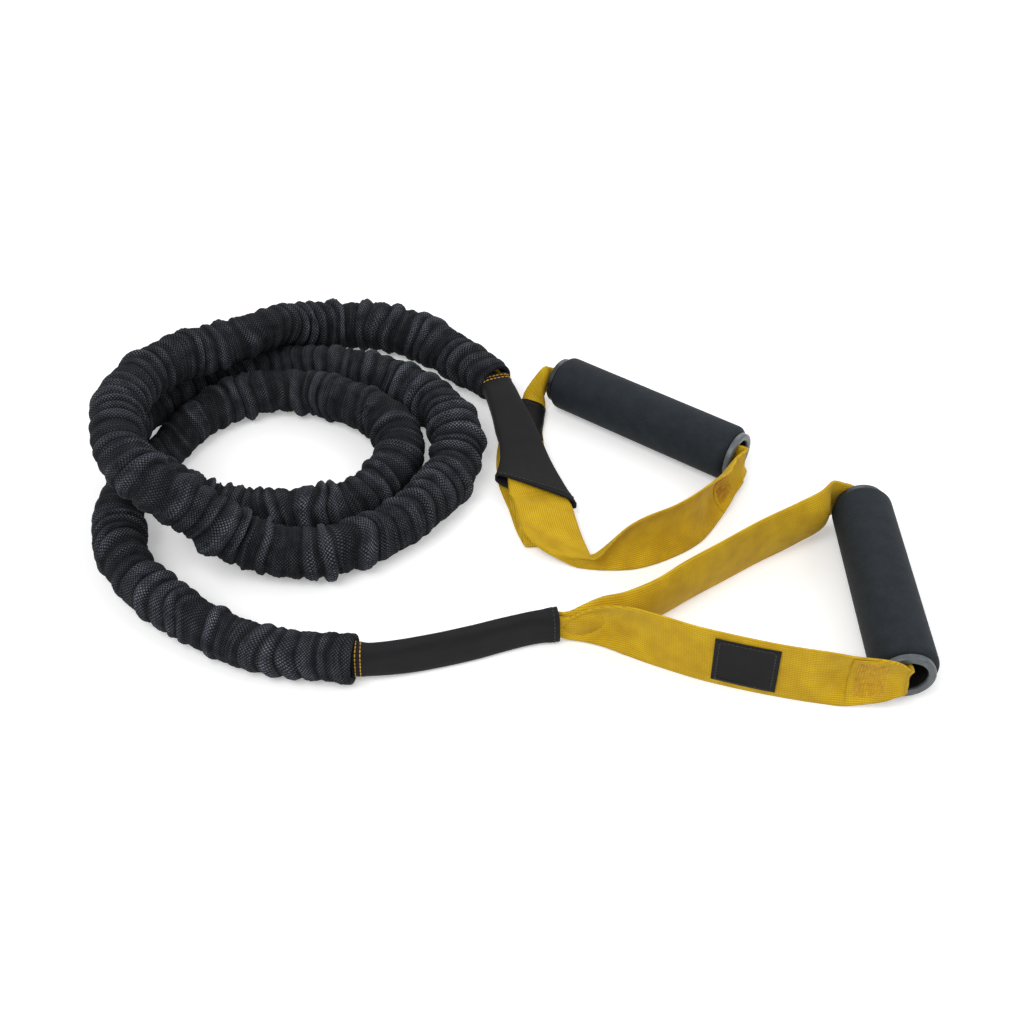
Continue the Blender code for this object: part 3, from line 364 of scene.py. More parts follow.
# The free stretches of the straps: one edge x, y, z, other edge x, y, z, width there
FRONT_NEAR_STRAND = [
    (0.0300, -0.1065, 0.0015, 0.0300, -0.1062, 0.0180, 0.0170),
    (0.0380, -0.1078, 0.0008, 0.0378, -0.1073, 0.0235, 0.0250),
    (0.0490, -0.1112, 0.0005, 0.0487, -0.1103, 0.0305, 0.0320),
    (0.0610, -0.1172, 0.0004, 0.0605, -0.1160, 0.0360, 0.0370),
    (0.0760, -0.1245, 0.0004, 0.0755, -0.1232, 0.0383, 0.0380),
    (0.0970, -0.1335, 0.0004, 0.0965, -0.1323, 0.0384, 0.0380),
    (0.1200, -0.1410, 0.0004, 0.1197, -0.1398, 0.0384, 0.0380),
    (0.1400, -0.1463, 0.0004, 0.1398, -0.1450, 0.0384, 0.0380),
    (0.1580, -0.1503, 0.0004, 0.1578, -0.1490, 0.0382, 0.0380),
    (0.1710, -0.1530, 0.0010, 0.1710, -0.1518, 0.0372, 0.0380),
]
FRONT_FAR_STRAND = [
    (0.1800, -0.0195, 0.0020, 0.1790, -0.0220, 0.0362, 0.0380),
    (0.1640, -0.0313, 0.0010, 0.1625, -0.0343, 0.0372, 0.0380),
    (0.1430, -0.0447, 0.0005, 0.1410, -0.0487, 0.0378, 0.0380),
    (0.1200, -0.0607, 0.0005, 0.1180, -0.0652, 0.0378, 0.0380),
    (0.0980, -0.0755, 0.0005, 0.0962, -0.0795, 0.0360, 0.0370),
    (0.0790, -0.0888, 0.0005, 0.0775, -0.0925, 0.0335, 0.0350),
    (0.0610, -0.0978, 0.0005, 0.0602, -0.0998, 0.0310, 0.0330),
    (0.0480, -0.1010, 0.0006, 0.0476, -0.1020, 0.0295, 0.0310),
    (0.0380, -0.1030, 0.0008, 0.0378, -0.1033, 0.0250, 0.0260),
    (0.0300, -0.1032, 0.0015, 0.0300, -0.1034, 0.0200, 0.0190),
]
REAR_NEAR_STRAND = [
    (0.0005, 0.0010, 0.0090, 0.0352, -0.0020, 0.0092, 0.0348),
    (0.0025, -0.0110, 0.0082, 0.0380, -0.0155, 0.0086, 0.0358),
    (0.0060, -0.0250, 0.0075, 0.0410, -0.0305, 0.0082, 0.0355),
    (0.0135, -0.0370, 0.0070, 0.0445, -0.0445, 0.0085, 0.0320),
    (0.0245, -0.0445, 0.0044, 0.0470, -0.0525, 0.0100, 0.0246),
    (0.0380, -0.0495, 0.0004, 0.0525, -0.0530, 0.0160, 0.0220),
    (0.0540, -0.0520, 0.0004, 0.0628, -0.0505, 0.0295, 0.0320),
    (0.0730, -0.0505, 0.0004, 0.0757, -0.0455, 0.0360, 0.0375),
    (0.0950, -0.0405, 0.0004, 0.0945, -0.0352, 0.0372, 0.0380),
    (0.1120, -0.0275, 0.0008, 0.1100, -0.0230, 0.0375, 0.0380),
    (0.1240, -0.0115, 0.0024, 0.1220, -0.0095, 0.0345, 0.0370),
    (0.1335, 0.0030, 0.0055, 0.1312, 0.0050, 0.0290, 0.0300),
]
REAR_FAR_STRAND = [
    (0.0215, 0.1085, 0.0040, 0.0148, 0.1105, 0.0215, 0.0240),
    (0.0214, 0.1040, 0.0022, 0.0085, 0.1070, 0.0125, 0.0200),
    (0.0212, 0.0985, 0.0018, 0.0060, 0.1000, 0.0075, 0.0180),
    (0.0209, 0.0920, 0.0016, 0.0036, 0.0930, 0.0055, 0.0185),
    (0.0204, 0.0840, 0.0015, 0.0000, 0.0850, 0.0050, 0.0215),
    (0.0198, 0.0760, 0.0014, -0.0070, 0.0760, 0.0038, 0.0275),
    (0.0205, 0.0670, 0.0013, -0.0085, 0.0670, 0.0020, 0.0294),
    (0.0215, 0.0500, 0.0013, -0.0100, 0.0500, 0.0013, 0.0310),
    (0.0245, 0.0250, 0.0013, -0.0085, 0.0250, 0.0013, 0.0330),
    (0.0285, 0.0000, 0.0013, -0.0018, 0.0000, 0.0013, 0.0303),
    (0.0300, -0.0180, 0.0013, 0.0025, -0.0185, 0.0013, 0.0275),
    (0.0300, -0.0305, 0.0015, 0.0065, -0.0300, 0.0015, 0.0235),
    (0.0302, -0.0335, 0.0027, 0.0075, -0.0331, 0.0027, 0.0227),
    (0.0300, -0.0305, 0.0039, 0.0065, -0.0300, 0.0039, 0.0235),
    (0.0300, -0.0160, 0.0046, 0.0035, -0.0160, 0.0046, 0.0265),
    (0.0325, -0.0010, 0.0060, -0.0015, 0.0010, 0.0060, 0.0326),
]
# Where a strap turns into a grip's bore: for each edge how far it is out of the ring's face, how far
# from the grip's axis towards the handle's throat and its height; then the width. From the strand on.
FRONT_NEAR_TURN = [
    (0.0060, 0.0114, 0.0065, 0.0048, 0.0114, 0.0355, 0.0298),
    (0.0055, 0.0044, 0.0105, 0.0036, 0.0044, 0.0312, 0.0213),
    (0.0046, 0.0006, 0.0100, 0.0030, 0.0006, 0.0272, 0.0176),
]
FRONT_FAR_TURN = [
    (-0.0045, 0.0215, 0.0030, -0.0045, 0.0215, 0.0355, 0.0328),
    (0.0022, 0.0165, 0.0050, 0.0022, 0.0165, 0.0325, 0.0277),
    (0.0044, 0.0100, 0.0070, 0.0044, 0.0100, 0.0290, 0.0222),
    (0.0050, 0.0040, 0.0085, 0.0050, 0.0040, 0.0265, 0.0184),
]
REAR_NEAR_TURN = [
    (0.0085, 0.0168, 0.0040, 0.0045, 0.0129, 0.0275, 0.0260),
    (0.0075, 0.0050, 0.0070, 0.0050, 0.0020, 0.0265, 0.0210),
    (0.0048, -0.0010, 0.0085, 0.0038, -0.0010, 0.0262, 0.0185),
]
REAR_FAR_TURN = [
    (0.0062, 0.0085, 0.0090, 0.0062, 0.0085, 0.0300, 0.0228),
    (0.0048, 0.0030, 0.0082, 0.0048, 0.0030, 0.0268, 0.0191),
]
# In the bore the strap first goes flat, then curls into a C at a depth from the ring's face
BORE_ENTRY = [
    (-0.0030, 0.0000, 0.0085, -0.0036, 0.0000, 0.0262, 0.0185),
    (-0.0140, 0.0040, 0.0085, -0.0140, 0.0040, 0.0265, 0.0205),
]
CURL_DEPTH = 0.040
# How far from the sheath's mouth along the strap's first edge. All are on the near strand, apart from the
# rear patch, which is on the far one.
FRONT_LABEL_ALONG = 0.086
FRONT_BAR_TACK_ALONG = 0.159
REAR_BAR_TACK_ALONG = 0.186
REAR_LABEL_ALONG = 0.1493

# Where a placed sheath row holds its size across, its size through and its slant
ACROSS = 12
THROUGH = 13
SLANT = 14

# The least gap between knots and the least angle that the sums can take, and the halvings that find one
LEAST_KNOT_GAP = 1e-5
LEAST_HALF_ANGLE = 0.0001
HALVINGS = 40


def smooth_rows(rows, steps):
    """Rows of numbers along a smooth curve through the given rows; the first three are its place."""
    first = [2 * a - b for a, b in zip(rows[0], rows[1])]
    last = [2 * a - b for a, b in zip(rows[-1], rows[-2])]
    padded = [first, *rows, last]
    made = []
    for i in range(1, len(padded) - 2):
        span = padded[i - 1:i + 3]
        knots = [0.0]
        for a, b in zip(span, span[1:]):
            knots.append(knots[-1] + max((Vector(b[:3]) - Vector(a[:3])).length, LEAST_KNOT_GAP) ** 0.5)
        for step in range(steps):
            made.append(blend_span(span, knots, knots[1] + (knots[2] - knots[1]) * step / steps))
    made.append(list(rows[-1]))
    return made


def blend_span(span, knots, t):
    """One row of a Catmull-Rom span with its own knots."""
    rows = [list(row) for row in span]
    for level, (low, high) in enumerate(((0, 1), (0, 2), (1, 2))):
        for j in range(3 - level):
            start = knots[j + low]
            share = (t - start) / (knots[j + high] - start)
            rows[j] = [a + (b - a) * share for a, b in zip(rows[j], rows[j + 1])]
    return rows[0]


def distances(rows):
    """How far along its line each row is."""
    places = np.array([row[:3] for row in rows], float)
    steps = np.linalg.norm(np.diff(places, axis=0), axis=1)
    return np.concatenate([[0.0], np.cumsum(steps)])


def evenly(rows, pitch, start=0.0, end=0.0):
    """Rows at equal steps along their curve, between a length left off its start and one off its end."""
    along = distances(rows)
    table = np.array(rows, float)
    count = max(2, round((along[-1] - start - end) / pitch))
    want = np.linspace(start, along[-1] - end, count + 1)
    return np.stack([np.interp(want, along, column) for column in table.T], axis=1).tolist()


def in_part(x, y, z=0.0):
    """A place in the view's floor frame, in the part's frame."""
    return Vector((x, y, z)) - ORIGIN_IN_VIEW


def tube_route():
    """The tube's whole centre line as rows of x, y, z, sleeve radius."""
    rows = list(REAR_LEAD)
    for degrees, reach, lift, radius in TURNS:
        angle = math.radians(degrees)
        x = COIL_CENTRE[0] + reach * math.cos(angle)
        y = COIL_CENTRE[1] + reach * math.sin(angle)
        rows.append((x, y, lift, radius))
    rows += FRONT_LEAD
    placed = []
    for x, y, lift, radius in rows:
        spot = in_part(x, y, radius - FLOOR_FLAT + lift)
        placed.append((*spot, radius))
    return smooth_rows(placed, ROUTE_STEPS)


def wander(random, places, spacing):
    """A smooth random line along places, from -1 to 1."""
    knots = random.uniform(-1, 1, int(places[-1] / spacing) + 3)
    at = places / spacing
    whole = at.astype(int)
    share = at - whole
    share = share * share * (3 - 2 * share)
    return knots[whole] * (1 - share) + knots[whole + 1] * share


def link_object(name, data):
    """Put a mesh or another piece of data in the scene as an object."""
    made = bpy.data.objects.new(name, data)
    bpy.context.scene.collection.objects.link(made)
    return made


def skin(name, rings, flat, finish, joined=False):
    """A closed mesh through rings of points, with the cloth's flat coordinates as its UV map.

    The end rings become caps, or the ends join where joined is true.
    """
    count, around = rings.shape[:2]
    rows = count if joined else count - 1
    row = np.arange(rows)[:, None]
    column = np.arange(around)[None, :]
    here = row * around + column
    beside = row * around + (column + 1) % around
    step = around * ((row + 1) % count - row)
    quads = np.stack([here, beside, beside + step, here + step], axis=-1).reshape(-1, 4)
    corners = [flat[:rows, :-1], flat[:rows, 1:], flat[1:rows + 1, 1:], flat[1:rows + 1, :-1]]
    places = np.stack(corners, axis=2).reshape(-1, 2)
    faces = quads.tolist()
    if not joined:
        first = list(range(around))
        last = [(count - 1) * around + i for i in first]
        faces += [first[::-1], last]
        places = np.concatenate([places, flat[0, -2::-1], flat[-1, :-1]])
    mesh = bpy.data.meshes.new(name)
    mesh.from_pydata(rings.reshape(-1, 3).tolist(), [], faces)
    layer = mesh.uv_layers.new(name=FLAT_MAP)
    layer.data.foreach_set("uv", places.astype(np.float32).ravel())
    form = bmesh.new()
    form.from_mesh(mesh)
    bmesh.ops.recalc_face_normals(form, faces=form.faces)
    form.to_mesh(mesh)
    form.free()
    mesh.shade_smooth()
    mesh.materials.append(finish)
    return link_object(name, mesh)


def frames(centres):
    """The way, the sideways and the upward direction at each place of a line."""
    way = np.gradient(centres, axis=0)
    way /= np.linalg.norm(way, axis=1, keepdims=True)
    side = np.cross(way, (0.0, 0.0, 1.0))
    side /= np.linalg.norm(side, axis=1, keepdims=True)
    return way, side, np.cross(side, way)


def fold_shift(random, along, angle):
    """How far a fold wanders from a plain ring as it goes round the sleeve, as a share of the most."""
    shift = 0.0
    for turns in (1, 2, 3):
        for wave in (np.cos(turns * angle), np.sin(turns * angle)):
            shift = shift + wander(random, along, FOLD_WANDER)[:, None] * wave[None, :] / turns
    return shift


def folds(random, along, angle, shift, pitch, weakest, power):
    """How far the folds of gathered cloth stand up along and round the sleeve, from 0 to 1."""
    number_of = int(along[-1] / pitch[0]) + SPARE_CREASES
    creases = np.cumsum(random.uniform(*pitch, number_of)) - PITCHES_BEFORE * pitch[1]
    heights = random.uniform(weakest, 1.0, number_of)
    strong_side = random.uniform(0, 2 * math.pi, number_of)
    number = np.interp(along[:, None] + shift, creases, np.arange(number_of))
    whole = number.astype(int)
    crest = heights[whole] * (CREST_MEAN + CREST_SWING * np.cos(angle[None, :] - strong_side[whole]))
    return np.minimum(crest, 1.0) * np.sin(math.pi * (number - whole)) ** power


def sleeve_lips(centres, way, reach, spokes):
    """The rings of the rolled lip at the sleeve's start and at its end."""
    lips = []
    for index, outward in ((0, -1.0), (-1, 1.0)):
        lip = []
        for past, share in SLEEVE_LIP:
            middle = centres[index] + way[index] * (outward * past)
            span = SLEEVE_MOUTH_RADIUS + (reach[index] - SLEEVE_MOUTH_RADIUS) * share
            lip.append(middle + span[:, None] * spokes[index])
        lips.append(np.array(lip))
    return lips


def make_sleeve(route, finish):
    """The gathered sleeve of speckled cloth, from handle to handle."""
    random = np.random.default_rng(SLEEVE_SEED)
    rows = np.array(evenly(route, SLEEVE_RING_PITCH))
    centres, radius = rows[:, :3], rows[:, 3:4]
    along = distances(rows)
    way, side, up = frames(centres)
    angle = np.arange(SLEEVE_SIDES) * 2 * math.pi / SLEEVE_SIDES
    full = (radius - SLEEVE_THIN_RADIUS) / (SLEEVE_FULL_RADIUS - SLEEVE_THIN_RADIUS)
    full = np.clip(full, LEAST_FULLNESS, 1.0)
    shift = FOLD_SLANT * fold_shift(random, along, angle)
    big = folds(random, along, angle, shift, FOLD_PITCH, FOLD_LEAST_HEIGHT, FOLD_POWER)
    small = folds(random, along, angle, shift, PLEAT_PITCH, PLEAT_LEAST_HEIGHT, PLEAT_POWER)
    near_end = np.minimum(along, along[-1] - along)[:, None]
    spare = SLEEVE_SPARE + SLEEVE_FLARE * np.exp(-(near_end / SLEEVE_FLARE_LENGTH) ** 2)
    reach = radius + spare - full * (FOLD_DEPTH * (1 - big) + PLEAT_DEPTH * (1 - small))
    spokes = side[:, None] * np.cos(angle)[None, :, None] + up[:, None] * np.sin(angle)[None, :, None]
    rings = centres[:, None] + reach[..., None] * spokes
    start, end = sleeve_lips(centres, way, reach, spokes)
    rings = np.concatenate([start[::-1], rings, end])
    rings[..., 2] = np.maximum(rings[..., 2], SLEEVE_FLOOR_GAP)
    run = np.linalg.norm(np.diff(rings, axis=0), axis=2).mean(axis=1)
    run = np.concatenate([[0.0], np.cumsum(run)])[:, None]
    lips = len(SLEEVE_LIP)
    run = run + np.pad(shift, ((lips, lips), (0, 1)), "edge")
    run[:, -1] = run[:, 0]
    turn = np.linspace(0, SLEEVE_FLAT_AROUND, SLEEVE_SIDES + 1)
    flat = np.stack(np.broadcast_arrays(run, turn[None, :]), axis=-1)
    cloth = skin("sleeve_cloth", rings, flat, finish)
    # The relief goes to the finish as an attribute, and the finish paints shade into the folds' hollows from
    # it
    relief = np.pad(FOLD_RELIEF * big + PLEAT_RELIEF * small, ((lips, lips), (0, 0)), "edge")
    layer = cloth.data.attributes.new("relief", "FLOAT", "POINT")
    layer.data.foreach_set("value", relief.astype(np.float32).ravel())
    return cloth, centres


def round_bar(name, centres, radius, sides, finish):
    """A round bar along a line of places."""
    _, side, up = frames(centres)
    angle = np.arange(sides) * 2 * math.pi / sides
    spokes = side[:, None] * np.cos(angle)[None, :, None] + up[:, None] * np.sin(angle)[None, :, None]
    along = distances(centres)
    turn = np.linspace(0, 2 * math.pi * radius, sides + 1)
    flat = np.stack(np.broadcast_arrays(along[:, None], turn[None, :]), axis=-1)
    return skin(name, centres[:, None] + radius * spokes, flat, finish)


def tangents(points):
    """The direction along a line of points, at each of them."""
    made = []
    for i in range(len(points)):
        made.append((points[min(i + 1, len(points) - 1)] - points[max(i - 1, 0)]).normalized())
    return made


def curl_half_angle(chord, width):
    """Half the angle of the arc that a strap's width makes over a shorter chord."""
    low, high = LEAST_HALF_ANGLE, math.pi
    for _ in range(HALVINGS):
        middle = (low + high) / 2
        if math.sin(middle) / middle > chord / width:
            low = middle
        else:
            high = middle
    return low


class Curl:
    """A strap's cross-section at one place: an arc between its two edges, nearly flat or curled."""

    def __init__(self, row, way):
        first = Vector(row[:3])
        second = Vector(row[3:6])
        chord = (second - first).length
        self.wide = (second - first).normalized()
        self.bulge = self.wide.cross(way).normalized()
        self.width = max(row[6], chord * LEAST_SPARE_WIDTH)
        self.half = curl_half_angle(chord, self.width)
        self.radius = self.width / (2 * self.half)
        self.centre = (first + second) / 2 - self.bulge * self.radius * math.cos(self.half)
        self.gather = 1 - min(1.0, self.width / STRAP_WIDTH)
        self.thick = STRAP_THICKNESS + GATHERED_EXTRA_THICKNESS * self.gather

    def out(self, share):
        """The direction square to the strap at a share of its half width, from -1 to 1."""
        angle = self.half * share
        return self.bulge * math.cos(angle) + self.wide * math.sin(angle)

    def point(self, share, offset):
        """A place at a share of the half width, at an offset from the middle of the thickness."""
        return self.centre + self.out(share) * (self.radius + offset)


def curls(rows):
    """The cross-sections along a strap's rows."""
    middles = [(Vector(row[:3]) + Vector(row[3:6])) / 2 for row in rows]
    return [Curl(row, way) for row, way in zip(rows, tangents(middles))]


def off_the_floor(rows):
    """The rows, each raised where its section would come too near the floor."""
    made = []
    for row, section in zip(rows, curls(rows)):
        half = section.thick / 2
        heights = [section.point(share, half * side).z for share in SECTION_SHARES for side in (-1, 1)]
        rise = max(0.0, STRAP_FLOOR_GAP - min(heights))
        made.append([*row[:2], row[2] + rise, *row[3:5], row[5] + rise, row[6]])
    return made


def strap(name, rows, finish, seed, reach=1.0, near=None, far=None):
    """A length of webbing on a strap's rows, with rounded selvedges and creases where it is gathered.

    Its reach is its share of the strap's width. Where it isn't the strap itself, near and far give how far
    its two faces are from the middle of the strap's thickness.
    """
    random = np.random.default_rng(seed)
    sections = curls(rows)
    along = distances(rows)
    drift = wander(random, along, CREASE_WANDER)
    shift, lean, cup = [wander(random, along, FLUTTER_WANDER) for _ in range(3)]
    shares = np.linspace(-1, 1, STRAP_COLUMNS + 1)
    rings = []
    flat = []
    for i, section in enumerate(sections):
        low = -section.thick / 2 if near is None else near(section)
        high = section.thick / 2 if far is None else far(section)
        outer = []
        inner = []
        for share in shares:
            rim = max(0.0, (abs(share) - 1 + SELVEDGE_SHARE) / SELVEDGE_SHARE)
            half = (high - low) / 2 * math.sqrt(max(SELVEDGE_BLUNTNESS, 1 - rim * rim))
            crease = CREASE_DEPTH * section.gather * math.sin(math.pi * (CREASES * share + drift[i]))
            sway = shift[i] + lean[i] * share + cup[i] * (share * share - FLUTTER_LEVEL)
            offset = (low + high) / 2 + crease + FLUTTER * sway
            outer.append(section.point(share * reach, offset + half))
            inner.append(section.point(share * reach, offset - half))
        rings.append([tuple(point) for point in outer + inner[::-1]])
        across = shares * section.width / 2 * reach
        across = np.concatenate([across, across[::-1], across[:1]])
        flat.append(np.stack([across, np.full(len(across), along[i])], axis=-1))
    return skin(name, np.array(rings), np.array(flat), finish)


def superellipse(angle):
    """A point of the sheath's rounded oblong section, one unit to each side."""
    c, s = math.cos(angle), math.sin(angle)
    return (math.copysign(abs(c) ** SHEATH_SQUARENESS, c), math.copysign(abs(s) ** SHEATH_SQUARENESS, s))


class Handle:
    """One handle's lay, from the lists above: where its sheath, its strap and its grip are."""

    def __init__(self, side, sheath, slant, strands, turns, tail_flip, far_face, grip_heading):
        self.side = side
        self.slant = slant
        self.sheath = self.sheath_rows([(*in_part(*row[:3]), *row[3:]) for row in sheath])
        self.strands = [[self.placed(row) for row in strand] for strand in strands]
        self.turns = turns
        self.tail_flip = tail_flip
        heading = math.radians(grip_heading)
        self.axis = Vector((math.cos(heading), math.sin(heading), 0))
        self.throat = Vector((-self.axis.y, self.axis.x, 0))
        self.grip = in_part(*far_face, FOAM_RADIUS) - self.axis * (GRIP_LENGTH / 2)
        self.tails, self.rows = self.strap_rows()

    @staticmethod
    def placed(row):
        """A strap row moved from the view's frame into the part's."""
        return (*in_part(*row[:3]), *in_part(*row[3:6]), row[6])

    @staticmethod
    def sheath_rows(rows):
        """The sheath's places, each with its way, its wide direction and the one through it."""
        made = []
        for row, way in zip(rows, tangents([Vector(row[:3]) for row in rows])):
            wide = Vector(row[3:6])
            wide = (wide - way * wide.dot(way)).normalized()
            made.append((*row[:3], *way, *wide, *way.cross(wide), row[6], row[7]))
        return made

    def leg(self, sign, flip):
        """One gathered tail of the strap in the sheath, from the sheath's tail to its mouth."""
        made = []
        for row in smooth_rows(self.sheath, TAIL_STEPS):
            centre, wide, through = Vector(row[:3]), Vector(row[6:9]), Vector(row[9:12])
            width = (row[ACROSS] - 2 * SHEATH_WALL) * TAIL_WIDTH_SHARE
            spread = (row[THROUGH] - 2 * SHEATH_WALL) * TAIL_SPREAD_SHARE
            middle = centre + through * sign * spread / 2
            edge = wide * (-0.5 if flip else 0.5) * width
            made.append((*(middle - edge), *(middle + edge), width))
        return made

    def turn_row(self, end, *row):
        """A strap row by a ring, from its edges' places out of the ring's face, to the throat and up."""
        face = self.grip + self.axis * (end * GRIP_LENGTH / 2)
        made = []
        for out, towards, height in (row[:3], row[3:6]):
            place = face + self.axis * (end * out) + self.throat * towards
            made += [place.x, place.y, height]
        return (*made, row[6])

    def strap_rows(self):
        """The strap's two tails by the tube's end, and the rest of it: out of the sheath, round through
        the grip's bore and back in."""
        curl = RING_HOLE_RADIUS - GRIP_STRAP_CLEARANCE - STRAP_THICKNESS / 2
        half = STRAP_WIDTH / (2 * curl)
        towards, rise = curl * math.cos(half), curl * math.sin(half)
        low, high = FOAM_RADIUS - rise, FOAM_RADIUS + rise
        curled = (-CURL_DEPTH, towards, low, -CURL_DEPTH, towards, high, STRAP_WIDTH)
        near_turn = [self.turn_row(-1, *row) for row in (*self.turns[0], *BORE_ENTRY, curled)]
        far_turn = [self.turn_row(1, *row) for row in (*self.turns[1], *BORE_ENTRY, curled)]
        near_leg = self.leg(1, False)
        far_leg = self.leg(-1, self.tail_flip)
        near, far = self.strands
        rows = [near_leg[-1], *near, *near_turn, *far_turn[::-1], *far, far_leg[-1]]
        free = off_the_floor(smooth_rows(rows, STRAP_STEPS))
        split = [evenly(leg, STRAP_PITCH, TAIL_LENGTH - TAIL_OVERLAP) for leg in (near_leg, far_leg)]
        whole = split[0][:-1] + evenly(free, STRAP_PITCH) + split[1][-2::-1]
        self.mouth = distances(split[0])[-1]
        tails = []
        for leg in (near_leg, far_leg):
            tails.append(evenly(leg, STRAP_PITCH, TAIL_SETBACK, distances(leg)[-1] - TAIL_LENGTH))
        return tails, whole

    def from_mouth(self, along, length, pitch):
        """A stretch of the near strand's rows, by distance from the sheath's mouth."""
        whole = distances(self.rows)[-1]
        start = self.mouth + along
        return evenly(self.rows, pitch, start, whole - start - length)

    def to_mouth(self, along, length, pitch):
        """A stretch of the far strand's rows, by distance from the sheath's mouth."""
        whole = distances(self.rows)[-1]
        end = self.mouth + along
        return evenly(self.rows, pitch, whole - end - length, end)

    def bend(self, piece):
        """Bake the piece's transform into its mesh."""
        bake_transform(piece)


def add(tree, kind, settings=None, inputs=None):
    """Add a node with its settings, and link its inputs or set their values."""
    made = tree.nodes.new(kind)
    for name, value in (settings or {}).items():
        setattr(made, name, value)
    for socket, value in (inputs or {}).items():
        if isinstance(value, bpy.types.Node):
            value = value.outputs[0]
        if isinstance(value, bpy.types.NodeSocket):
            tree.links.new(value, made.inputs[socket])
        else:
            made.inputs[socket].default_value = value
    return made


def colour(code):
    """A hex sRGB colour as linear red, green, blue and alpha."""
    parts = [int(code[i:i + 2], 16) / 255 for i in (1, 3, 5)]
    return (*[v / 12.92 if v <= 0.04045 else ((v + 0.055) / 1.055) ** 2.4 for v in parts], 1.0)


def new_finish(name, roughness, specular, sheen=0.0):
    """A named material, with its node tree and its shader."""
    made = bpy.data.materials.new(name)
    made.use_nodes = True
    shader = made.node_tree.nodes["Principled BSDF"]
    shader.inputs["Roughness"].default_value = roughness
    shader.inputs["Specular IOR Level"].default_value = specular
    shader.inputs["Sheen Weight"].default_value = sheen
    shader.inputs["Sheen Roughness"].default_value = SHEEN_ROUGHNESS
    return made, made.node_tree, shader


def rippled(tree, at, pitch, power):
    """The height of rounded threads side by side, one for each pitch, from 0 to 1.

    The lower the power, the flatter each thread's top and the narrower the groove beside it.
    """
    turn = add(tree, "ShaderNodeMath", {"operation": "MULTIPLY"}, {0: at, 1: math.pi / pitch})
    wave = add(tree, "ShaderNodeMath", {"operation": "SINE"}, {0: turn})
    hump = add(tree, "ShaderNodeMath", {"operation": "ABSOLUTE"}, {0: wave})
    return add(tree, "ShaderNodeMath", {"operation": "POWER"}, {0: hump, 1: power})


def flat_places(tree):
    """The cloth's own flat coordinates in metres, together and one by one."""
    layer = add(tree, "ShaderNodeUVMap", {"uv_map": FLAT_MAP})
    place = add(tree, "ShaderNodeSeparateXYZ", inputs={0: layer})
    return layer, place.outputs[0], place.outputs[1]


def cloudy(tree, at, per_metre, detail, low=0.0, high=1.0):
    """Soft patches between two values, so many to the metre: 100 gives patches of about 10 mm."""
    noise = add(tree, "ShaderNodeTexNoise", inputs={"Vector": at, "Scale": per_metre, "Detail": detail})
    limits = {1: NOISE_LOW, 2: NOISE_HIGH, 3: low, 4: high}
    return add(tree, "ShaderNodeMapRange", inputs={0: noise, **limits})


def toned(tree, shader, share, dark, light, height, strength, depth):
    """Give the shader a colour between two tones by a share, and a relief by a height."""
    tone = add(tree, "ShaderNodeMix", {"data_type": "RGBA"}, {0: share, 6: colour(dark), 7: colour(light)})
    tree.links.new(tone.outputs[2], shader.inputs["Base Color"])
    bump = add(tree, "ShaderNodeBump", inputs={"Height": height, "Strength": strength, "Distance": depth})
    tree.links.new(bump.outputs[0], shader.inputs["Normal"])


def sleeve_cloth():
    """Textured polyester in plain weave, gathered: near black, with pale flecks where the yarn is loose.

    The yarn is 0.5 mm, too fine to show, so the flecks are drawn 1.5 mm apart. Fine pleats of about 2 mm
    run round the sleeve between the folds that have a shape of their own, with painted light on their tops
    and painted shade between them. The folds' hollows are painted darker as shade, and their flecks fade
    there.
    """
    made, tree, shader = new_finish("speckled_polyester_weave", roughness=0.9, specular=0.1)
    layer, along, around = flat_places(tree)
    summed = add(tree, "ShaderNodeMath", {"operation": "ADD"}, {0: along, 1: around})
    taken = add(tree, "ShaderNodeMath", {"operation": "SUBTRACT"}, {0: along, 1: around})
    one = rippled(tree, summed, FLECK_PITCH, power=1.0)
    other = rippled(tree, taken, FLECK_PITCH, power=1.0)
    flecks = add(tree, "ShaderNodeMath", {"operation": "MULTIPLY"}, {0: one, 1: other})
    sharp = add(tree, "ShaderNodeMapRange", inputs={0: flecks, 1: 0.45, 2: 0.80, 3: 0.0, 4: 1.0})
    patches = cloudy(tree, layer.outputs[0], per_metre=110.0, detail=3.0, low=0.1)
    shown = add(tree, "ShaderNodeMath", {"operation": "MULTIPLY"}, {0: sharp, 1: patches})
    drawn = add(tree, "ShaderNodeVectorMath", {"operation": "MULTIPLY"}, {0: layer, 1: PLEATS_PER_METRE})
    pleats = cloudy(tree, drawn.outputs[0], per_metre=1.0, detail=2.0)
    # The folds' hollows are painted darker as shade by the relief, and the flecks fade there with it
    relief = add(tree, "ShaderNodeAttribute", {"attribute_name": "relief"}).outputs["Fac"]
    raised = add(tree, "ShaderNodeMapRange", inputs={0: relief, 1: 0.2, 2: 0.8, 3: 0.2, 4: 1.0})
    shown = add(tree, "ShaderNodeMath", {"operation": "MULTIPLY"}, {0: shown, 1: raised})
    # Tones: dark and light follow the drawn pleats as painted shade and painted light, then painted shade
    # for the folds' hollows, then the flecks' own pale colour
    codes = ("#131418", "#30333a", "#060607", "#7d828a")
    dark, light, painted_hollow_shade, fleck = (colour(code) for code in codes)
    # The tone follows the drawn pleats' height: painted shade between them and painted light on their tops
    base = add(tree, "ShaderNodeMix", {"data_type": "RGBA"}, {0: pleats, 6: dark, 7: light})
    lit = add(tree, "ShaderNodeMix", {"data_type": "RGBA"}, {0: raised, 6: painted_hollow_shade, 7: base.outputs[2]})
    mixed = add(tree, "ShaderNodeMix", {"data_type": "RGBA"}, {0: shown, 6: lit.outputs[2], 7: fleck})
    tree.links.new(mixed.outputs[2], shader.inputs["Base Color"])
    bump = add(tree, "ShaderNodeBump", inputs={"Height": pleats, "Strength": 0.8, "Distance": 0.0008})
    tree.links.new(bump.outputs[0], shader.inputs["Normal"])
    return made


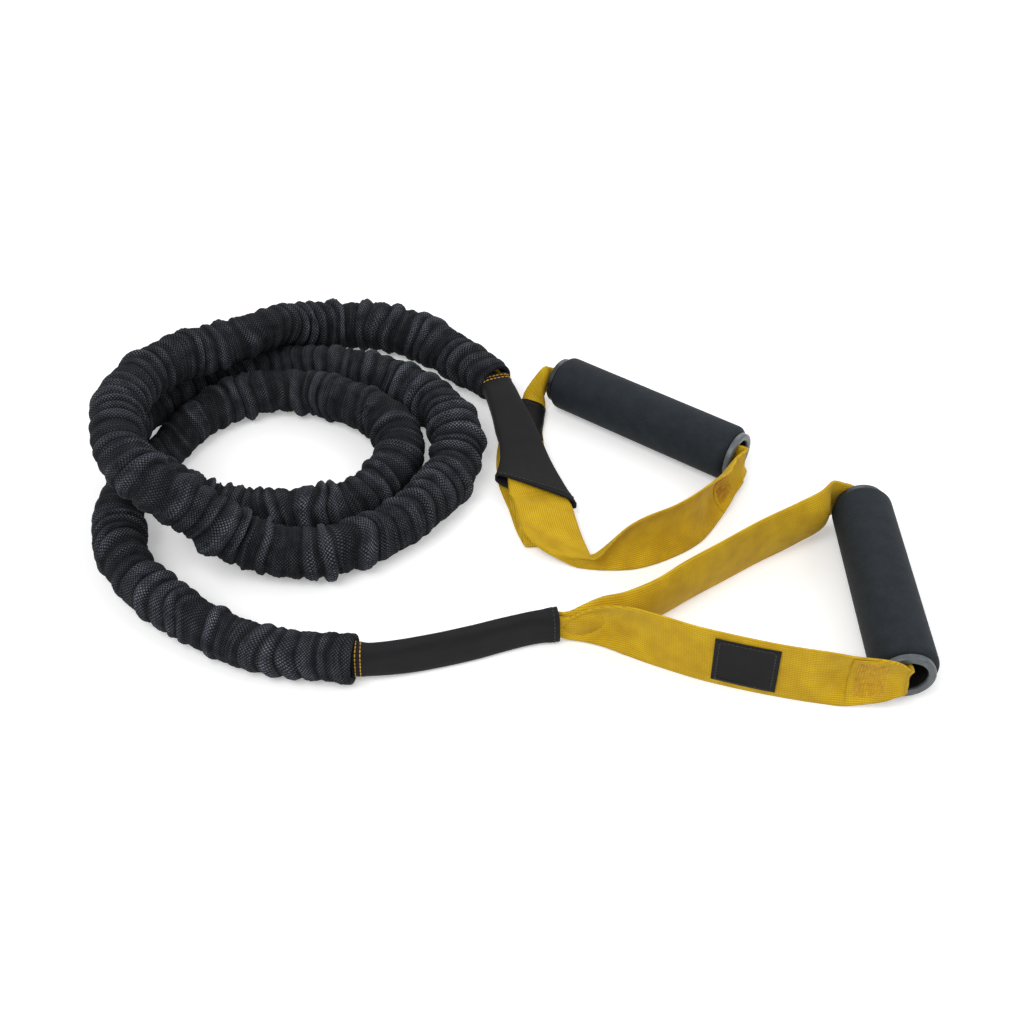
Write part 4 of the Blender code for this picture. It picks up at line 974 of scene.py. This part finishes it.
def webbing():
    """Polyester webbing in golden yellow: flat ribs along the strap, each crossed by slanting yarns.

    The ribs are 1.3 mm wide, about thirty to the strap, and the crossings are drawn 1.4 mm apart so that
    they show. In every other rib they are half a crossing further on.
    """
    made, tree, shader = new_finish("yellow_polyester_webbing", roughness=0.75, specular=0.2, sheen=0.05)
    layer, across, along = flat_places(tree)
    rib = rippled(tree, across, RIB_PITCH, power=0.55)
    number = add(tree, "ShaderNodeMath", {"operation": "MULTIPLY"}, {0: across, 1: 1 / RIB_PITCH})
    whole = add(tree, "ShaderNodeMath", {"operation": "FLOOR"}, {0: number})
    odd = add(tree, "ShaderNodeMath", {"operation": "PINGPONG"}, {0: whole, 1: 1.0})
    added = {"operation": "MULTIPLY_ADD"}
    moved = add(tree, "ShaderNodeMath", added, {0: odd, 1: CROSSING_PITCH / 2, 2: along})
    slanted = add(tree, "ShaderNodeMath", added, {0: across, 1: CROSSING_SLOPE, 2: moved})
    crossing = rippled(tree, slanted, CROSSING_PITCH, power=0.5)
    crossed = add(tree, "ShaderNodeMapRange", inputs={0: crossing, 1: 0.0, 2: 1.0, 3: 0.5, 4: 1.0})
    height = add(tree, "ShaderNodeMath", {"operation": "MULTIPLY"}, {0: rib, 1: crossed})
    patches = cloudy(tree, layer.outputs[0], per_metre=70.0, detail=5.0, low=0.45)
    # The colour follows the weave's height: darker in the grooves between ribs and crossings as painted
    # shade, and varied in soft patches of the yarn's own tone
    share = add(tree, "ShaderNodeMath", {"operation": "MULTIPLY"}, {0: height, 1: patches})
    toned(tree, shader, share, "#a2780c", "#e0bc1e", height, strength=0.6, depth=0.0003)
    return made


def sewing_thread(name, dark, light):
    """Spun polyester sewing thread: matt, with a slight change of tone from stitch to stitch."""
    made, tree, shader = new_finish(name, roughness=0.6, specular=0.3, sheen=0.2)
    place = add(tree, "ShaderNodeTexCoord").outputs["Object"]
    share = cloudy(tree, place, per_metre=400.0, detail=2.0)
    fuzz = cloudy(tree, place, per_metre=2600.0, detail=1.0)
    toned(tree, shader, share, dark, light, fuzz, strength=0.4, depth=0.0002)
    return made


def sheath_cloth():
    """Black nylon oxford cloth: an even plain weave of 0.6 mm yarns, drawn 1.1 mm apart so that it shows."""
    made, tree, shader = new_finish("black_nylon_oxford", roughness=0.82, specular=0.2, sheen=0.05)
    layer, around, along = flat_places(tree)
    one = rippled(tree, around, OXFORD_PITCH, power=0.8)
    other = rippled(tree, along, OXFORD_PITCH, power=0.8)
    height = add(tree, "ShaderNodeMath", {"operation": "MULTIPLY"}, {0: one, 1: other})
    even = add(tree, "ShaderNodeMapRange", inputs={0: height, 1: 0.0, 2: 1.0, 3: 0.75, 4: 1.0})
    patches = cloudy(tree, layer.outputs[0], per_metre=60.0, detail=4.0, low=0.5)
    # The tone is a little darker in the weave's grooves, as painted shade, and varies in soft patches of the
    # cloth's own tone
    share = add(tree, "ShaderNodeMath", {"operation": "MULTIPLY"}, {0: even, 1: patches})
    toned(tree, shader, share, "#0a0a0b", "#1b1a1c", height, strength=0.12, depth=0.0002)
    return made


def label_cloth():
    """A satin-woven polyester label, plain black: fine ribs along it, a little glossier than the sheath."""
    made, tree, shader = new_finish("black_satin_label", roughness=0.6, specular=0.2)
    layer, across, _ = flat_places(tree)
    rib = rippled(tree, across, SATIN_PITCH, power=0.7)
    patches = cloudy(tree, layer.outputs[0], per_metre=90.0, detail=3.0, low=0.2)
    # The tone is darker between the ribs, as painted shade, and varies in soft patches of the cloth's own
    # tone
    share = add(tree, "ShaderNodeMath", {"operation": "MULTIPLY"}, {0: rib, 1: patches})
    toned(tree, shader, share, "#060607", "#121214", rib, strength=0.4, depth=0.0002)
    return made


def grip_foam():
    """Closed-cell rubber foam, extruded and ground round: dark blue-grey, matt, with fine open pores.

    The pores are about 0.3 mm, and are drawn 1.1 mm apart so that they show.
    """
    made, tree, shader = new_finish("ground_rubber_foam", roughness=0.78, specular=0.25)
    place = add(tree, "ShaderNodeTexCoord").outputs["Object"]
    cells = add(tree, "ShaderNodeTexVoronoi", inputs={"Vector": place, "Scale": PORES_PER_METRE})
    pores = add(tree, "ShaderNodeMapRange", inputs={0: cells.outputs[0], 1: 0.05, 2: 0.45, 3: 0.0, 4: 1.0})
    patches = cloudy(tree, place, per_metre=130.0, detail=5.0)
    added = {"operation": "MULTIPLY_ADD"}
    # The pores are darker as painted shade in them; the patches are the foam's own change of tone
    fine = add(tree, "ShaderNodeMath", added, {0: pores, 1: 0.45, 2: 0.0})
    share = add(tree, "ShaderNodeMath", added, {0: patches, 1: 0.5, 2: fine})
    toned(tree, shader, share, "#0d1115", "#20272d", share, strength=0.35, depth=0.0004)
    return made


def ring_plastic(name, dark, light):
    """Injection-moulded polypropylene: satin, with the faint grain of the mould."""
    made, tree, shader = new_finish(name, roughness=0.32, specular=0.5)
    place = add(tree, "ShaderNodeTexCoord").outputs["Object"]
    patches = cloudy(tree, place, per_metre=260.0, detail=4.0)
    grain = cloudy(tree, place, per_metre=1800.0, detail=2.0)
    toned(tree, shader, patches, dark, light, grain, strength=0.15, depth=0.0002)
    return made


def latex():
    """Dipped natural latex: amber-grey, smooth and slightly tacky, so it has a broad soft gloss."""
    made, tree, shader = new_finish("dipped_natural_latex", roughness=0.45, specular=0.4)
    place = add(tree, "ShaderNodeTexCoord").outputs["Object"]
    patches = cloudy(tree, place, per_metre=90.0, detail=3.0)
    waves = cloudy(tree, place, per_metre=500.0, detail=2.0)
    toned(tree, shader, patches, "#8d7a58", "#a8946d", waves, strength=0.1, depth=0.0002)
    return made


def make_finishes():
    """The finishes by the names of the record's slots."""
    return {
        "sleeve_fabric": sleeve_cloth(),
        "sheath_fabric": sheath_cloth(),
        "webbing": webbing(),
        "thread": sewing_thread("yellow_polyester_thread", "#b07f10", "#dfaa20"),
        "dark_thread": sewing_thread("black_polyester_thread", "#0c0c0d", "#1c1c1f"),
        "foam": grip_foam(),
        "plastic": ring_plastic("satin_grey_polypropylene", "#43494d", "#575e62"),
        # A darker copy of the grey ring plastic: on the far rings it is painted shade; the plugs and cores
        # take it too
        "dark_plastic": ring_plastic("satin_dark_polypropylene_and_painted_shade", "#15181a", "#1e2224"),
        "latex": latex(),
        "label": label_cloth(),
    }


def tree_with(name, inputs):
    """A geometry tree with named inputs after its geometry, and the identifier of each."""
    tree = bpy.data.node_groups.new(name, "GeometryNodeTree")
    tree.interface.new_socket("Geometry", in_out="INPUT", socket_type="NodeSocketGeometry")
    sockets = {}
    for title, kind in inputs.items():
        sockets[title] = tree.interface.new_socket(title, in_out="INPUT", socket_type=kind).identifier
    tree.interface.new_socket("Geometry", in_out="OUTPUT", socket_type="NodeSocketGeometry")
    return tree, tree.nodes.new("NodeGroupInput"), sockets


def sewing_tree():
    """A stitch of thread at each point, laid along the point's own way and pressed against the cloth."""
    inputs = {
        "Thread radius": "NodeSocketFloat",
        "Stitch sides": "NodeSocketInt",
        "Stitch rings": "NodeSocketInt",
        "Thread": "NodeSocketMaterial",
    }
    tree, given, sockets = tree_with("sewing", inputs)
    way = add(tree, "GeometryNodeInputNamedAttribute", {"data_type": "FLOAT_VECTOR"}, {"Name": "way"})
    out = add(tree, "GeometryNodeInputNamedAttribute", {"data_type": "FLOAT_VECTOR"}, {"Name": "out"})
    long = add(tree, "ShaderNodeVectorMath", {"operation": "LENGTH"}, {0: way})
    thin = given.outputs[1]
    size = add(tree, "ShaderNodeCombineXYZ", inputs={0: thin, 1: thin, 2: long.outputs["Value"]})
    laid = add(tree, "FunctionNodeAlignRotationToVector", {"axis": "Z"}, {"Vector": way})
    settings = {"axis": "X", "pivot_axis": "Z"}
    pressed = add(tree, "FunctionNodeAlignRotationToVector", settings, {"Rotation": laid, "Vector": out})
    ball = add(tree, "GeometryNodeMeshUVSphere", inputs={0: given.outputs[2], 1: given.outputs[3], 2: 1.0})
    placed = add(
        tree, "GeometryNodeInstanceOnPoints",
        inputs={"Points": given.outputs[0], "Instance": ball, "Rotation": pressed, "Scale": size},
    )
    real = add(tree, "GeometryNodeRealizeInstances", inputs={0: placed})
    smooth = add(tree, "GeometryNodeSetShadeSmooth", inputs={0: real})
    coloured = add(tree, "GeometryNodeSetMaterial", inputs={0: smooth, "Material": given.outputs[4]})
    add(tree, "NodeGroupOutput", inputs={0: coloured})
    return tree, sockets


def winding_tree():
    """Thread wound in a close spiral about the upward axis."""
    inputs = {
        "Turns": "NodeSocketFloat",
        "Winding radius": "NodeSocketFloat",
        "Height": "NodeSocketFloat",
        "Thread radius": "NodeSocketFloat",
        "Thread": "NodeSocketMaterial",
    }
    tree, given, sockets = tree_with("winding", inputs)
    spiral = add(
        tree, "GeometryNodeCurveSpiral",
        inputs={
            "Resolution": WHIPPING_STEPS, "Rotations": given.outputs[1],
            "Start Radius": given.outputs[2], "End Radius": given.outputs[2], "Height": given.outputs[3],
        },
    )
    size = {"Resolution": WHIPPING_SIDES, "Radius": given.outputs[4]}
    section = add(tree, "GeometryNodeCurvePrimitiveCircle", inputs=size)
    curves = {"Curve": spiral, "Profile Curve": section, "Fill Caps": True}
    bar = add(tree, "GeometryNodeCurveToMesh", inputs=curves)
    coloured = add(tree, "GeometryNodeSetMaterial", inputs={0: bar, "Material": given.outputs[5]})
    add(tree, "NodeGroupOutput", inputs={0: coloured})
    return tree, sockets


def grown(piece, tree, sockets, values):
    """Run a geometry tree on a piece, and keep its result as the piece's plain mesh."""
    change = piece.modifiers.new(tree.name, "NODES")
    change.node_group = tree
    for title, value in values.items():
        change[sockets[title]] = value
    bpy.context.view_layer.update()
    shown = piece.evaluated_get(bpy.context.evaluated_depsgraph_get())
    mesh = bpy.data.meshes.new_from_object(shown)
    piece.modifiers.clear()
    piece.data = mesh
    return piece


def sewn(name, stitches, tree, finish):
    """Stitches as one piece, from the two ends of each and the direction out of the cloth."""
    first, second, out = (np.array(column, float) for column in zip(*stitches))
    mesh = bpy.data.meshes.new(name)
    mesh.from_pydata(((first + second) / 2).tolist(), [], [])
    for title, values in (("way", (second - first) / 2), ("out", out)):
        layer = mesh.attributes.new(title, "FLOAT_VECTOR", "POINT")
        layer.data.foreach_set("vector", values.astype(np.float32).ravel())
    sizes = {"Thread radius": THREAD_RADIUS, "Stitch sides": STITCH_SIDES, "Stitch rings": STITCH_RINGS}
    return grown(link_object(name, mesh), *tree, {**sizes, "Thread": finish})


def stitch_line(places, pitch):
    """Stitches with gaps between them along places, each a point and the direction out of the cloth."""
    rows = evenly([(*point, *out) for point, out in places], pitch)
    made = []
    for a, b in zip(rows, rows[1:]):
        first, second = np.array(a[:3]), np.array(b[:3])
        gap = (second - first) * (1 - STITCH_SHARE) / 2
        made.append((first + gap, second - gap, np.array(a[3:6])))
    return made


def arc(centre, radius, start, end, count):
    """Points of an arc, in degrees, for a profile."""
    angles = [math.radians(start + (end - start) * i / count) for i in range(count + 1)]
    return [(centre[0] + radius * math.cos(a), centre[1] + radius * math.sin(a)) for a in angles]


def turned(name, profile, place, axis, finish):
    """A closed turned piece about an axis, from a closed profile of radius and place along it."""
    side = np.array(axis.cross(Vector((0, 0, 1))).normalized())
    up = np.array((0.0, 0.0, 1.0))
    angle = np.arange(ROUND_SIDES) * 2 * math.pi / ROUND_SIDES
    spokes = side[None, :] * np.cos(angle)[:, None] + up[None, :] * np.sin(angle)[:, None]
    radius, along = np.array(profile, float).T
    rings = np.array(place) + spokes[:, None] * radius[None, :, None]
    rings = rings + np.array(axis) * along[None, :, None]
    turn = np.linspace(0, 2 * math.pi * radius.max(), ROUND_SIDES + 1)
    run = distances([(r, a, 0.0) for r, a in [*profile, profile[0]]])
    flat = np.stack(np.broadcast_arrays(turn[:, None], run[None, :]), axis=-1)
    made = skin(name, rings, flat, finish, joined=True)
    made.data.set_sharp_from_angle(angle=math.radians(SHARP_DEGREES))
    return made


def foam_profile():
    """The grip foam's outline: radius and place along it."""
    half = GRIP_LENGTH / 2 - RING_PROUD - SEAT_GAP
    bore = CORE_OUTER_RADIUS + FIT
    corner = FOAM_RADIUS - FOAM_EDGE_RADIUS
    edge = FOAM_EDGE_RADIUS
    made = [(bore, half)] + arc((corner, half - edge), edge, 90, 0, EDGE_STEPS)
    for i in range(1, FOAM_STEPS):
        made.append((FOAM_RADIUS, (half - edge) * (1 - 2 * i / FOAM_STEPS)))
    return made + arc((corner, edge - half), edge, 0, -90, EDGE_STEPS) + [(bore, -half)]


def ring_profile(end):
    """The moulded ring's outline at one end of the grip: radius and place along it."""
    face = GRIP_LENGTH / 2
    edge = RING_EDGE_RADIUS
    socket = face - RING_PROUD + RING_SOCKET_DEPTH
    bore = CORE_OUTER_RADIUS + FIT
    made = arc((RING_RADIUS - edge, face - edge), edge, 90, 0, EDGE_STEPS)
    made += [(RING_RADIUS, face - RING_PROUD), (bore, face - RING_PROUD)]
    made += [(bore, socket), (RING_HOLE_RADIUS, socket)]
    made += arc((RING_HOLE_RADIUS + edge, face - edge), edge, 180, 90, EDGE_STEPS)
    return [(radius, along * end) for radius, along in made]


def make_grip(handle, finishes):
    """The foam and the two moulded rings of one grip."""
    side, body = handle.side, f"{handle.side}_grip"
    foam = turned(f"{side}_foam_grip", foam_profile(), handle.grip, handle.axis, finishes["foam"])
    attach(foam, body)
    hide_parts(f"{side}_grip_foam")
    near = ("near_ring", "grip_end_ring", -1, "plastic")
    # The far ring is of the near ring's grey plastic; its darker finish is painted shade
    far = ("far_ring", "grip_far_ring", 1, "dark_plastic")
    for name, node, end, finish in (near, far):
        ring = turned(f"{side}_{name}", ring_profile(end), handle.grip, handle.axis, finishes[finish])
        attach(ring, body)
        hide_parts(f"{side}_{node}")


def section_places(row, inset):
    """Points round the sheath at one of its rows, inside its outer face by an inset."""
    centre, way, wide, through = (np.array(row[i:i + 3]) for i in (0, 3, 6, 9))
    ring = []
    for i in range(SHEATH_COLUMNS):
        a, b = superellipse(2 * math.pi * (i + 0.5) / SHEATH_COLUMNS)
        place = centre + way * a * row[SLANT]
        across = wide * a * (row[ACROSS] / 2 - inset)
        ring.append(place + across + through * b * (row[THROUGH] / 2 - inset))
    return np.array(ring)


def sheath_outside(rows, along):
    """The rings of the sheath's outer face, raised at its hems and slightly wrinkled between them."""
    random = np.random.default_rng(SHEATH_SEED)
    waves = [wander(random, along, WRINKLE_WANDER) for _ in range(WRINKLE_WAVES)]
    angle = np.arange(SHEATH_COLUMNS) * 2 * math.pi / SHEATH_COLUMNS
    rings = []
    for i, row in enumerate(rows):
        edge = min(along[i], along[-1] - along[i])
        hem = HEM_RISE * min(1.0, max(0.0, (HEM_LENGTH - edge) / HEM_STEP_LENGTH))
        ripple = sum(wave[i] * np.cos((turns + 1) * angle) for turns, wave in enumerate(waves)) / 2
        calm = min(1.0, edge / CALM_LENGTH)
        ring = section_places(row, 0.0)
        outward = ring - np.array(row[:3])
        outward /= np.linalg.norm(outward, axis=1, keepdims=True)
        rings.append(ring + outward * (hem + SHEATH_WRINKLE * calm * ripple)[:, None])
    return rings


def sew_hems(handle, rows, whole, sewing, finishes):
    """The sewing round the sheath: two rows at its tail and one at its mouth."""
    side = handle.side
    seams = []
    tail = ("tail", HEM_SETBACK, TAIL_HEM_SHIFTS, "thread")
    mouth = ("mouth", whole - HEM_SETBACK, (0.0,), "dark_thread")
    for name, place, shifts, finish in (tail, mouth):
        lines = []
        for shift in shifts:
            row = evenly(rows, SHEATH_PITCH, place + shift, whole - place - shift - SHEATH_PITCH)[0]
            ring = section_places(row, -HEM_RISE - THREAD_RADIUS * HEM_STAND)
            outs = ring - np.array(row[:3])
            places = [(point, out / np.linalg.norm(out)) for point, out in zip(ring, outs)]
            lines += stitch_line([*places, places[0]], STITCH_PITCH)
        seam = sewn(f"{side}_{name}_hem_sewing", lines, sewing, finishes[finish])
        handle.bend(seam)
        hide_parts(f"{side}_sheath_{name}_stitch")
        seams.append(seam)
    return seams


def make_sheath(handle, sewing, finishes):
    """The black cover over the strap's tails, hemmed at both ends, with its rows of sewing."""
    side = handle.side
    rows = evenly(smooth_rows(handle.sheath, SHEATH_STEPS), SHEATH_PITCH)
    along = distances(rows)
    whole = along[-1]
    slants = handle.slant * np.clip((along - whole + SLANTED_LENGTH) / SLANTED_LENGTH, 0.0, 1.0) ** 2
    rows = [[*row, slant] for row, slant in zip(rows, slants)]
    outer = sheath_outside(rows, along)
    inner = [section_places(row, SHEATH_WALL) for row in rows]
    rings = np.array(outer + inner[::-1])
    around = np.linspace(0, 1, SHEATH_COLUMNS + 1) * (2 * (rows[0][ACROSS] + rows[0][THROUGH]))
    run = np.concatenate([along, along[::-1], along[:1]])
    flat = np.stack(np.broadcast_arrays(around[None, :], run[:, None]), axis=-1)
    cover = skin(f"{side}_sheath_cloth", rings, flat, finishes["sheath_fabric"], joined=True)
    handle.bend(cover)
    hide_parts(f"{side}_sheath")

    seams = sew_hems(handle, rows, whole, sewing, finishes)


def make_lap(handle, finishes, along):
    """The lapped end of the webbing, on the strap's outer face."""
    stretch = handle.from_mouth(along - LAP_BEFORE, LAP_LENGTH, STRAP_PITCH)
    lap = strap(
        f"{handle.side}_strap_lap", stretch, finishes["webbing"], STRAP_SEED, LAP_SHARE,
        lambda section: -section.thick / 2 - LAP_THICKNESS, lambda section: -section.thick / 2 + LAP_SUNK,
    )
    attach(lap, f"{handle.side}_handle")
    return lap


def make_bar_tack(handle, sewing, finishes, along):
    """The zigzag sewing through the lap and the strap."""
    path = []
    sections = curls(handle.from_mouth(along, (BAR_TACK_ROWS - 1) * BAR_TACK_PITCH, BAR_TACK_PITCH))
    for i, section in enumerate(sections):
        shares = np.linspace(-BAR_TACK_SHARE, BAR_TACK_SHARE, BAR_TACK_STITCHES + 1) * (-1) ** i
        offset = -section.thick / 2 - LAP_THICKNESS - THREAD_RADIUS * BAR_TACK_STAND
        path += [(section.point(share, offset), -section.out(share)) for share in shares]
    stitches = [(a, b, out) for (a, out), (b, _) in zip(path, path[1:])]
    tack = sewn(f"{handle.side}_bar_tack_sewing", stitches, sewing, finishes["thread"])
    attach(tack, f"{handle.side}_handle")
    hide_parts(f"{handle.side}_bar_tack")
    return tack


def make_strap(handle, sewing, finishes, bar_tack_along, label):
    """The strap through the grip, its tails in the sheath, its lap and what is sewn on it."""
    side = handle.side
    web = strap(f"{side}_webbing_strap", handle.rows, finishes["webbing"], STRAP_SEED)
    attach(web, f"{side}_handle")
    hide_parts(f"{side}_webbing")
    for number, rows in enumerate(handle.tails):
        tail = strap(f"{side}_webbing_tail_{number + 1}", rows, finishes["webbing"], TAIL_SEED)
        handle.bend(tail)

    on_it = [make_lap(handle, finishes, bar_tack_along)]
    on_it.append(make_bar_tack(handle, sewing, finishes, bar_tack_along))
    on_it += make_label(handle, sewing, finishes, *label)


def make_label(handle, sewing, finishes, stretch, face, share):
    """The bare woven patch on the strap's outer face, -1, or its inner one, 1, and the sewing round it."""
    side, body = handle.side, f"{handle.side}_handle"
    patch = strap(
        f"{side}_bare_label", stretch, finishes["label"], STRAP_SEED, share,
        lambda section: face * section.thick / 2 + min(0.0, face * LABEL_THICKNESS),
        lambda section: face * section.thick / 2 + max(0.0, face * LABEL_THICKNESS),
    )
    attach(patch, body)
    if side == "front":
        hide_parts("front_label_patch")
    sections = curls(stretch)
    inset = LABEL_SEWING_INSET
    low, high = sections[inset], sections[-1 - inset]
    reach = share * LABEL_SEWING_SHARE
    shares = np.linspace(-reach, reach, LABEL_SEWING_POINTS)
    border = [(low, place) for place in shares]
    border += [(section, reach) for section in sections[inset:-inset]]
    border += [(high, place) for place in shares[::-1]]
    border += [(section, -reach) for section in sections[-1 - inset:inset - 1:-1]]
    places = []
    for section, place in border:
        offset = face * (section.thick / 2 + LABEL_THICKNESS + THREAD_RADIUS * LABEL_STAND)
        places.append((section.point(place, offset), face * section.out(place)))
    stitches = stitch_line(places, LABEL_STITCH_PITCH)
    edge = sewn(f"{side}_label_sewing", stitches, sewing, finishes["dark_thread"])
    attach(edge, body)
    return [patch, edge]


def make_tube_end(side, end, inward, winding, finishes):
    """The strap's tails round the tube's end and the thread wound over them, out of sight in the sleeve."""
    out = Vector([-v for v in inward])
    across = Vector((-out.y, out.x, 0)).normalized()
    up = Vector((0, 0, 1))
    inner = TUBE_RADIUS + ANCHOR_CLEARANCE
    outer = inner + ANCHOR_THICKNESS
    half_slit = ANCHOR_SLIT_DEGREES / 2
    around = arc((0, 0), outer, half_slit - 90, 270 - half_slit, ANCHOR_ARC_STEPS)
    around += arc((0, 0), inner, 270 - half_slit, half_slit - 90, ANCHOR_ARC_STEPS)
    rings = []
    for step in range(ANCHOR_STEPS + 1):
        back = -ANCHOR_SETBACK - (ANCHOR_LENGTH - ANCHOR_SETBACK) * step / ANCHOR_STEPS
        rings.append([tuple(end + out * back + across * y + up * z) for y, z in around])
    run = distances([(y, z, 0.0) for y, z in [*around, around[0]]])
    along = np.linspace(0, ANCHOR_LENGTH, ANCHOR_STEPS + 1)
    flat = np.stack(np.broadcast_arrays(run[None, :], along[:, None]), axis=-1)
    anchor = skin(f"{side}_anchored_tails", np.array(rings), flat, finishes["webbing"])
    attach(anchor, "tube")
    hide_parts(f"{side}_anchor_webbing")

    name = f"{side}_wound_thread"
    sizes = {
        "Turns": float(WHIPPING_TURNS),
        "Winding radius": outer + WHIPPING_GAP + WHIPPING_THREAD_RADIUS,
        "Height": 2 * WHIPPING_TURNS * WHIPPING_THREAD_RADIUS,
        "Thread radius": WHIPPING_THREAD_RADIUS,
        "Thread": finishes["thread"],
    }
    wound = grown(link_object(name, bpy.data.meshes.new(name)), *winding, sizes)
    places = np.zeros(len(wound.data.vertices) * 3, np.float32)
    wound.data.vertices.foreach_get("co", places)
    places = places.reshape(-1, 3)
    start = end - out * (ANCHOR_LENGTH / 2 + WHIPPING_TURNS * WHIPPING_THREAD_RADIUS)
    moved = np.array(start) + np.outer(places[:, 0], across) + np.outer(places[:, 1], up)
    moved = moved + np.outer(places[:, 2], out)
    wound.data.vertices.foreach_set("co", moved.astype(np.float32).ravel())
    wound.data.update()
    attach(wound, "tube")
    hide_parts(f"{side}_whipping")
    return [anchor, wound]


def make_camera():
    """The camera at the photograph's viewing angle."""
    data = bpy.data.cameras.new("view")
    data.sensor_width = CAMERA_SENSOR_MM
    data.lens = CAMERA_LENS_MM
    camera = link_object("view", data)
    camera.location = CAMERA_PLACE
    camera.rotation_euler = (math.radians(CAMERA_TILT_DEGREES), 0, 0)
    bpy.context.scene.camera = camera


def make_light(name, place, size, power):
    """A soft square lamp that looks at the middle of the object."""
    data = bpy.data.lights.new(name, "AREA")
    data.size = size
    data.energy = power
    lamp = link_object(name, data)
    lamp.location = place
    lamp.rotation_euler = (-Vector(place)).to_track_quat("-Z", "Y").to_euler()


def make_studio():
    """A white floor, a pale surround and soft lamps."""
    scene = bpy.context.scene
    scene.view_settings.view_transform = "Standard"
    form = bmesh.new()
    bmesh.ops.create_grid(form, x_segments=1, y_segments=1, size=FLOOR_HALF)
    mesh = bpy.data.meshes.new("floor")
    form.to_mesh(mesh)
    form.free()
    floor = link_object("floor", mesh)
    made, tree, shader = new_finish("matt_white_paper", 0.95, 0.1)
    shader.inputs["Base Color"].default_value = colour("#f2f2f2")
    shader.inputs["Emission Color"].default_value = (1.0, 1.0, 1.0, 1.0)
    tree.links.new(seen_white(tree, FLOOR_GLOW, 0.0), shader.inputs["Emission Strength"])
    mesh.materials.append(made)

    world = bpy.data.worlds.new("surround")
    scene.world = world
    world.use_nodes = True
    sky = world.node_tree.nodes["Background"]
    sky.inputs["Color"].default_value = (1.0, 1.0, 1.0, 1.0)
    strength = seen_white(world.node_tree, SURROUND_SEEN_EXTRA, SURROUND_STRENGTH)
    world.node_tree.links.new(strength, sky.inputs["Strength"])

    for name, (place, size, power) in LAMPS.items():
        make_light(name, place, size, power)


def seen_white(tree, extra, base):
    """A strength with something extra where the camera, a gloss or a glass sees it."""
    path = add(tree, "ShaderNodeLightPath")
    camera, gloss = path.outputs["Is Camera Ray"], path.outputs["Is Glossy Ray"]
    glass = path.outputs["Is Transmission Ray"]
    seen = add(tree, "ShaderNodeMath", {"operation": "MAXIMUM"}, {0: camera, 1: gloss})
    seen = add(tree, "ShaderNodeMath", {"operation": "MAXIMUM"}, {0: seen, 1: glass})
    added = {"operation": "MULTIPLY_ADD"}
    return add(tree, "ShaderNodeMath", added, {0: seen, 1: extra, 2: base}).outputs[0]


def make_tube(finishes, winding):
    """The whole tube: its gathered sleeve, the latex inside and the ends under the sleeve."""
    route = tube_route()
    cloth, centres = make_sleeve(route, finishes["sleeve_fabric"])
    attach(cloth, "tube")
    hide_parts("safety_sleeve")
    inner = np.array(evenly(route, LATEX_PITCH, TUBE_END_SETBACK, TUBE_END_SETBACK))[:, :3]
    rubber = round_bar("latex_core", inner, TUBE_RADIUS, LATEX_SIDES, finishes["latex"])
    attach(rubber, "tube")
    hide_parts("latex_tube")
    ends = [rubber]
    for side, here, there in (("rear", route[0], route[1]), ("front", route[-1], route[-2])):
        inward = (Vector(there[:3]) - Vector(here[:3])).to_2d().normalized().to_3d()
        ends += make_tube_end(side, Vector(here[:3]), inward, winding, finishes)
        ends.append(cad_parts[f"{side}_tube_plug"])


def finish_nodes(finishes):
    """The plastic pieces that stay as they were cut get their finish."""
    for side in ("front", "rear"):
        for node in (f"{side}_tube_plug", f"{side}_grip_core"):
            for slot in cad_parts[node].material_slots:
                slot.material = finishes["dark_plastic"]


def main():
    make_camera()
    finishes = make_finishes()
    sewing = sewing_tree()
    winding = winding_tree()
    make_tube(finishes, winding)
    front = Handle(
        "front", FRONT_SHEATH, 0.0, (FRONT_NEAR_STRAND, FRONT_FAR_STRAND),
        (FRONT_NEAR_TURN, FRONT_FAR_TURN), False, FRONT_GRIP_FAR_FACE, FRONT_GRIP_HEADING,
    )
    rear = Handle(
        "rear", REAR_SHEATH, REAR_SLANT, (REAR_NEAR_STRAND, REAR_FAR_STRAND),
        (REAR_NEAR_TURN, REAR_FAR_TURN), True, REAR_GRIP_FAR_FACE, REAR_GRIP_HEADING,
    )
    front_label = (front.from_mouth(FRONT_LABEL_ALONG, LABEL_LENGTH, LABEL_PITCH), -1, FRONT_LABEL_SHARE)
    rear_label = (rear.to_mouth(REAR_LABEL_ALONG, LABEL_LENGTH, LABEL_PITCH), 1, REAR_LABEL_SHARE)
    for handle, tack, label in (
        (front, FRONT_BAR_TACK_ALONG, front_label), (rear, REAR_BAR_TACK_ALONG, rear_label),
    ):
        make_strap(handle, sewing, finishes, tack, label)
        make_sheath(handle, sewing, finishes)
        make_grip(handle, finishes)
    finish_nodes(finishes)
    make_studio()


main()
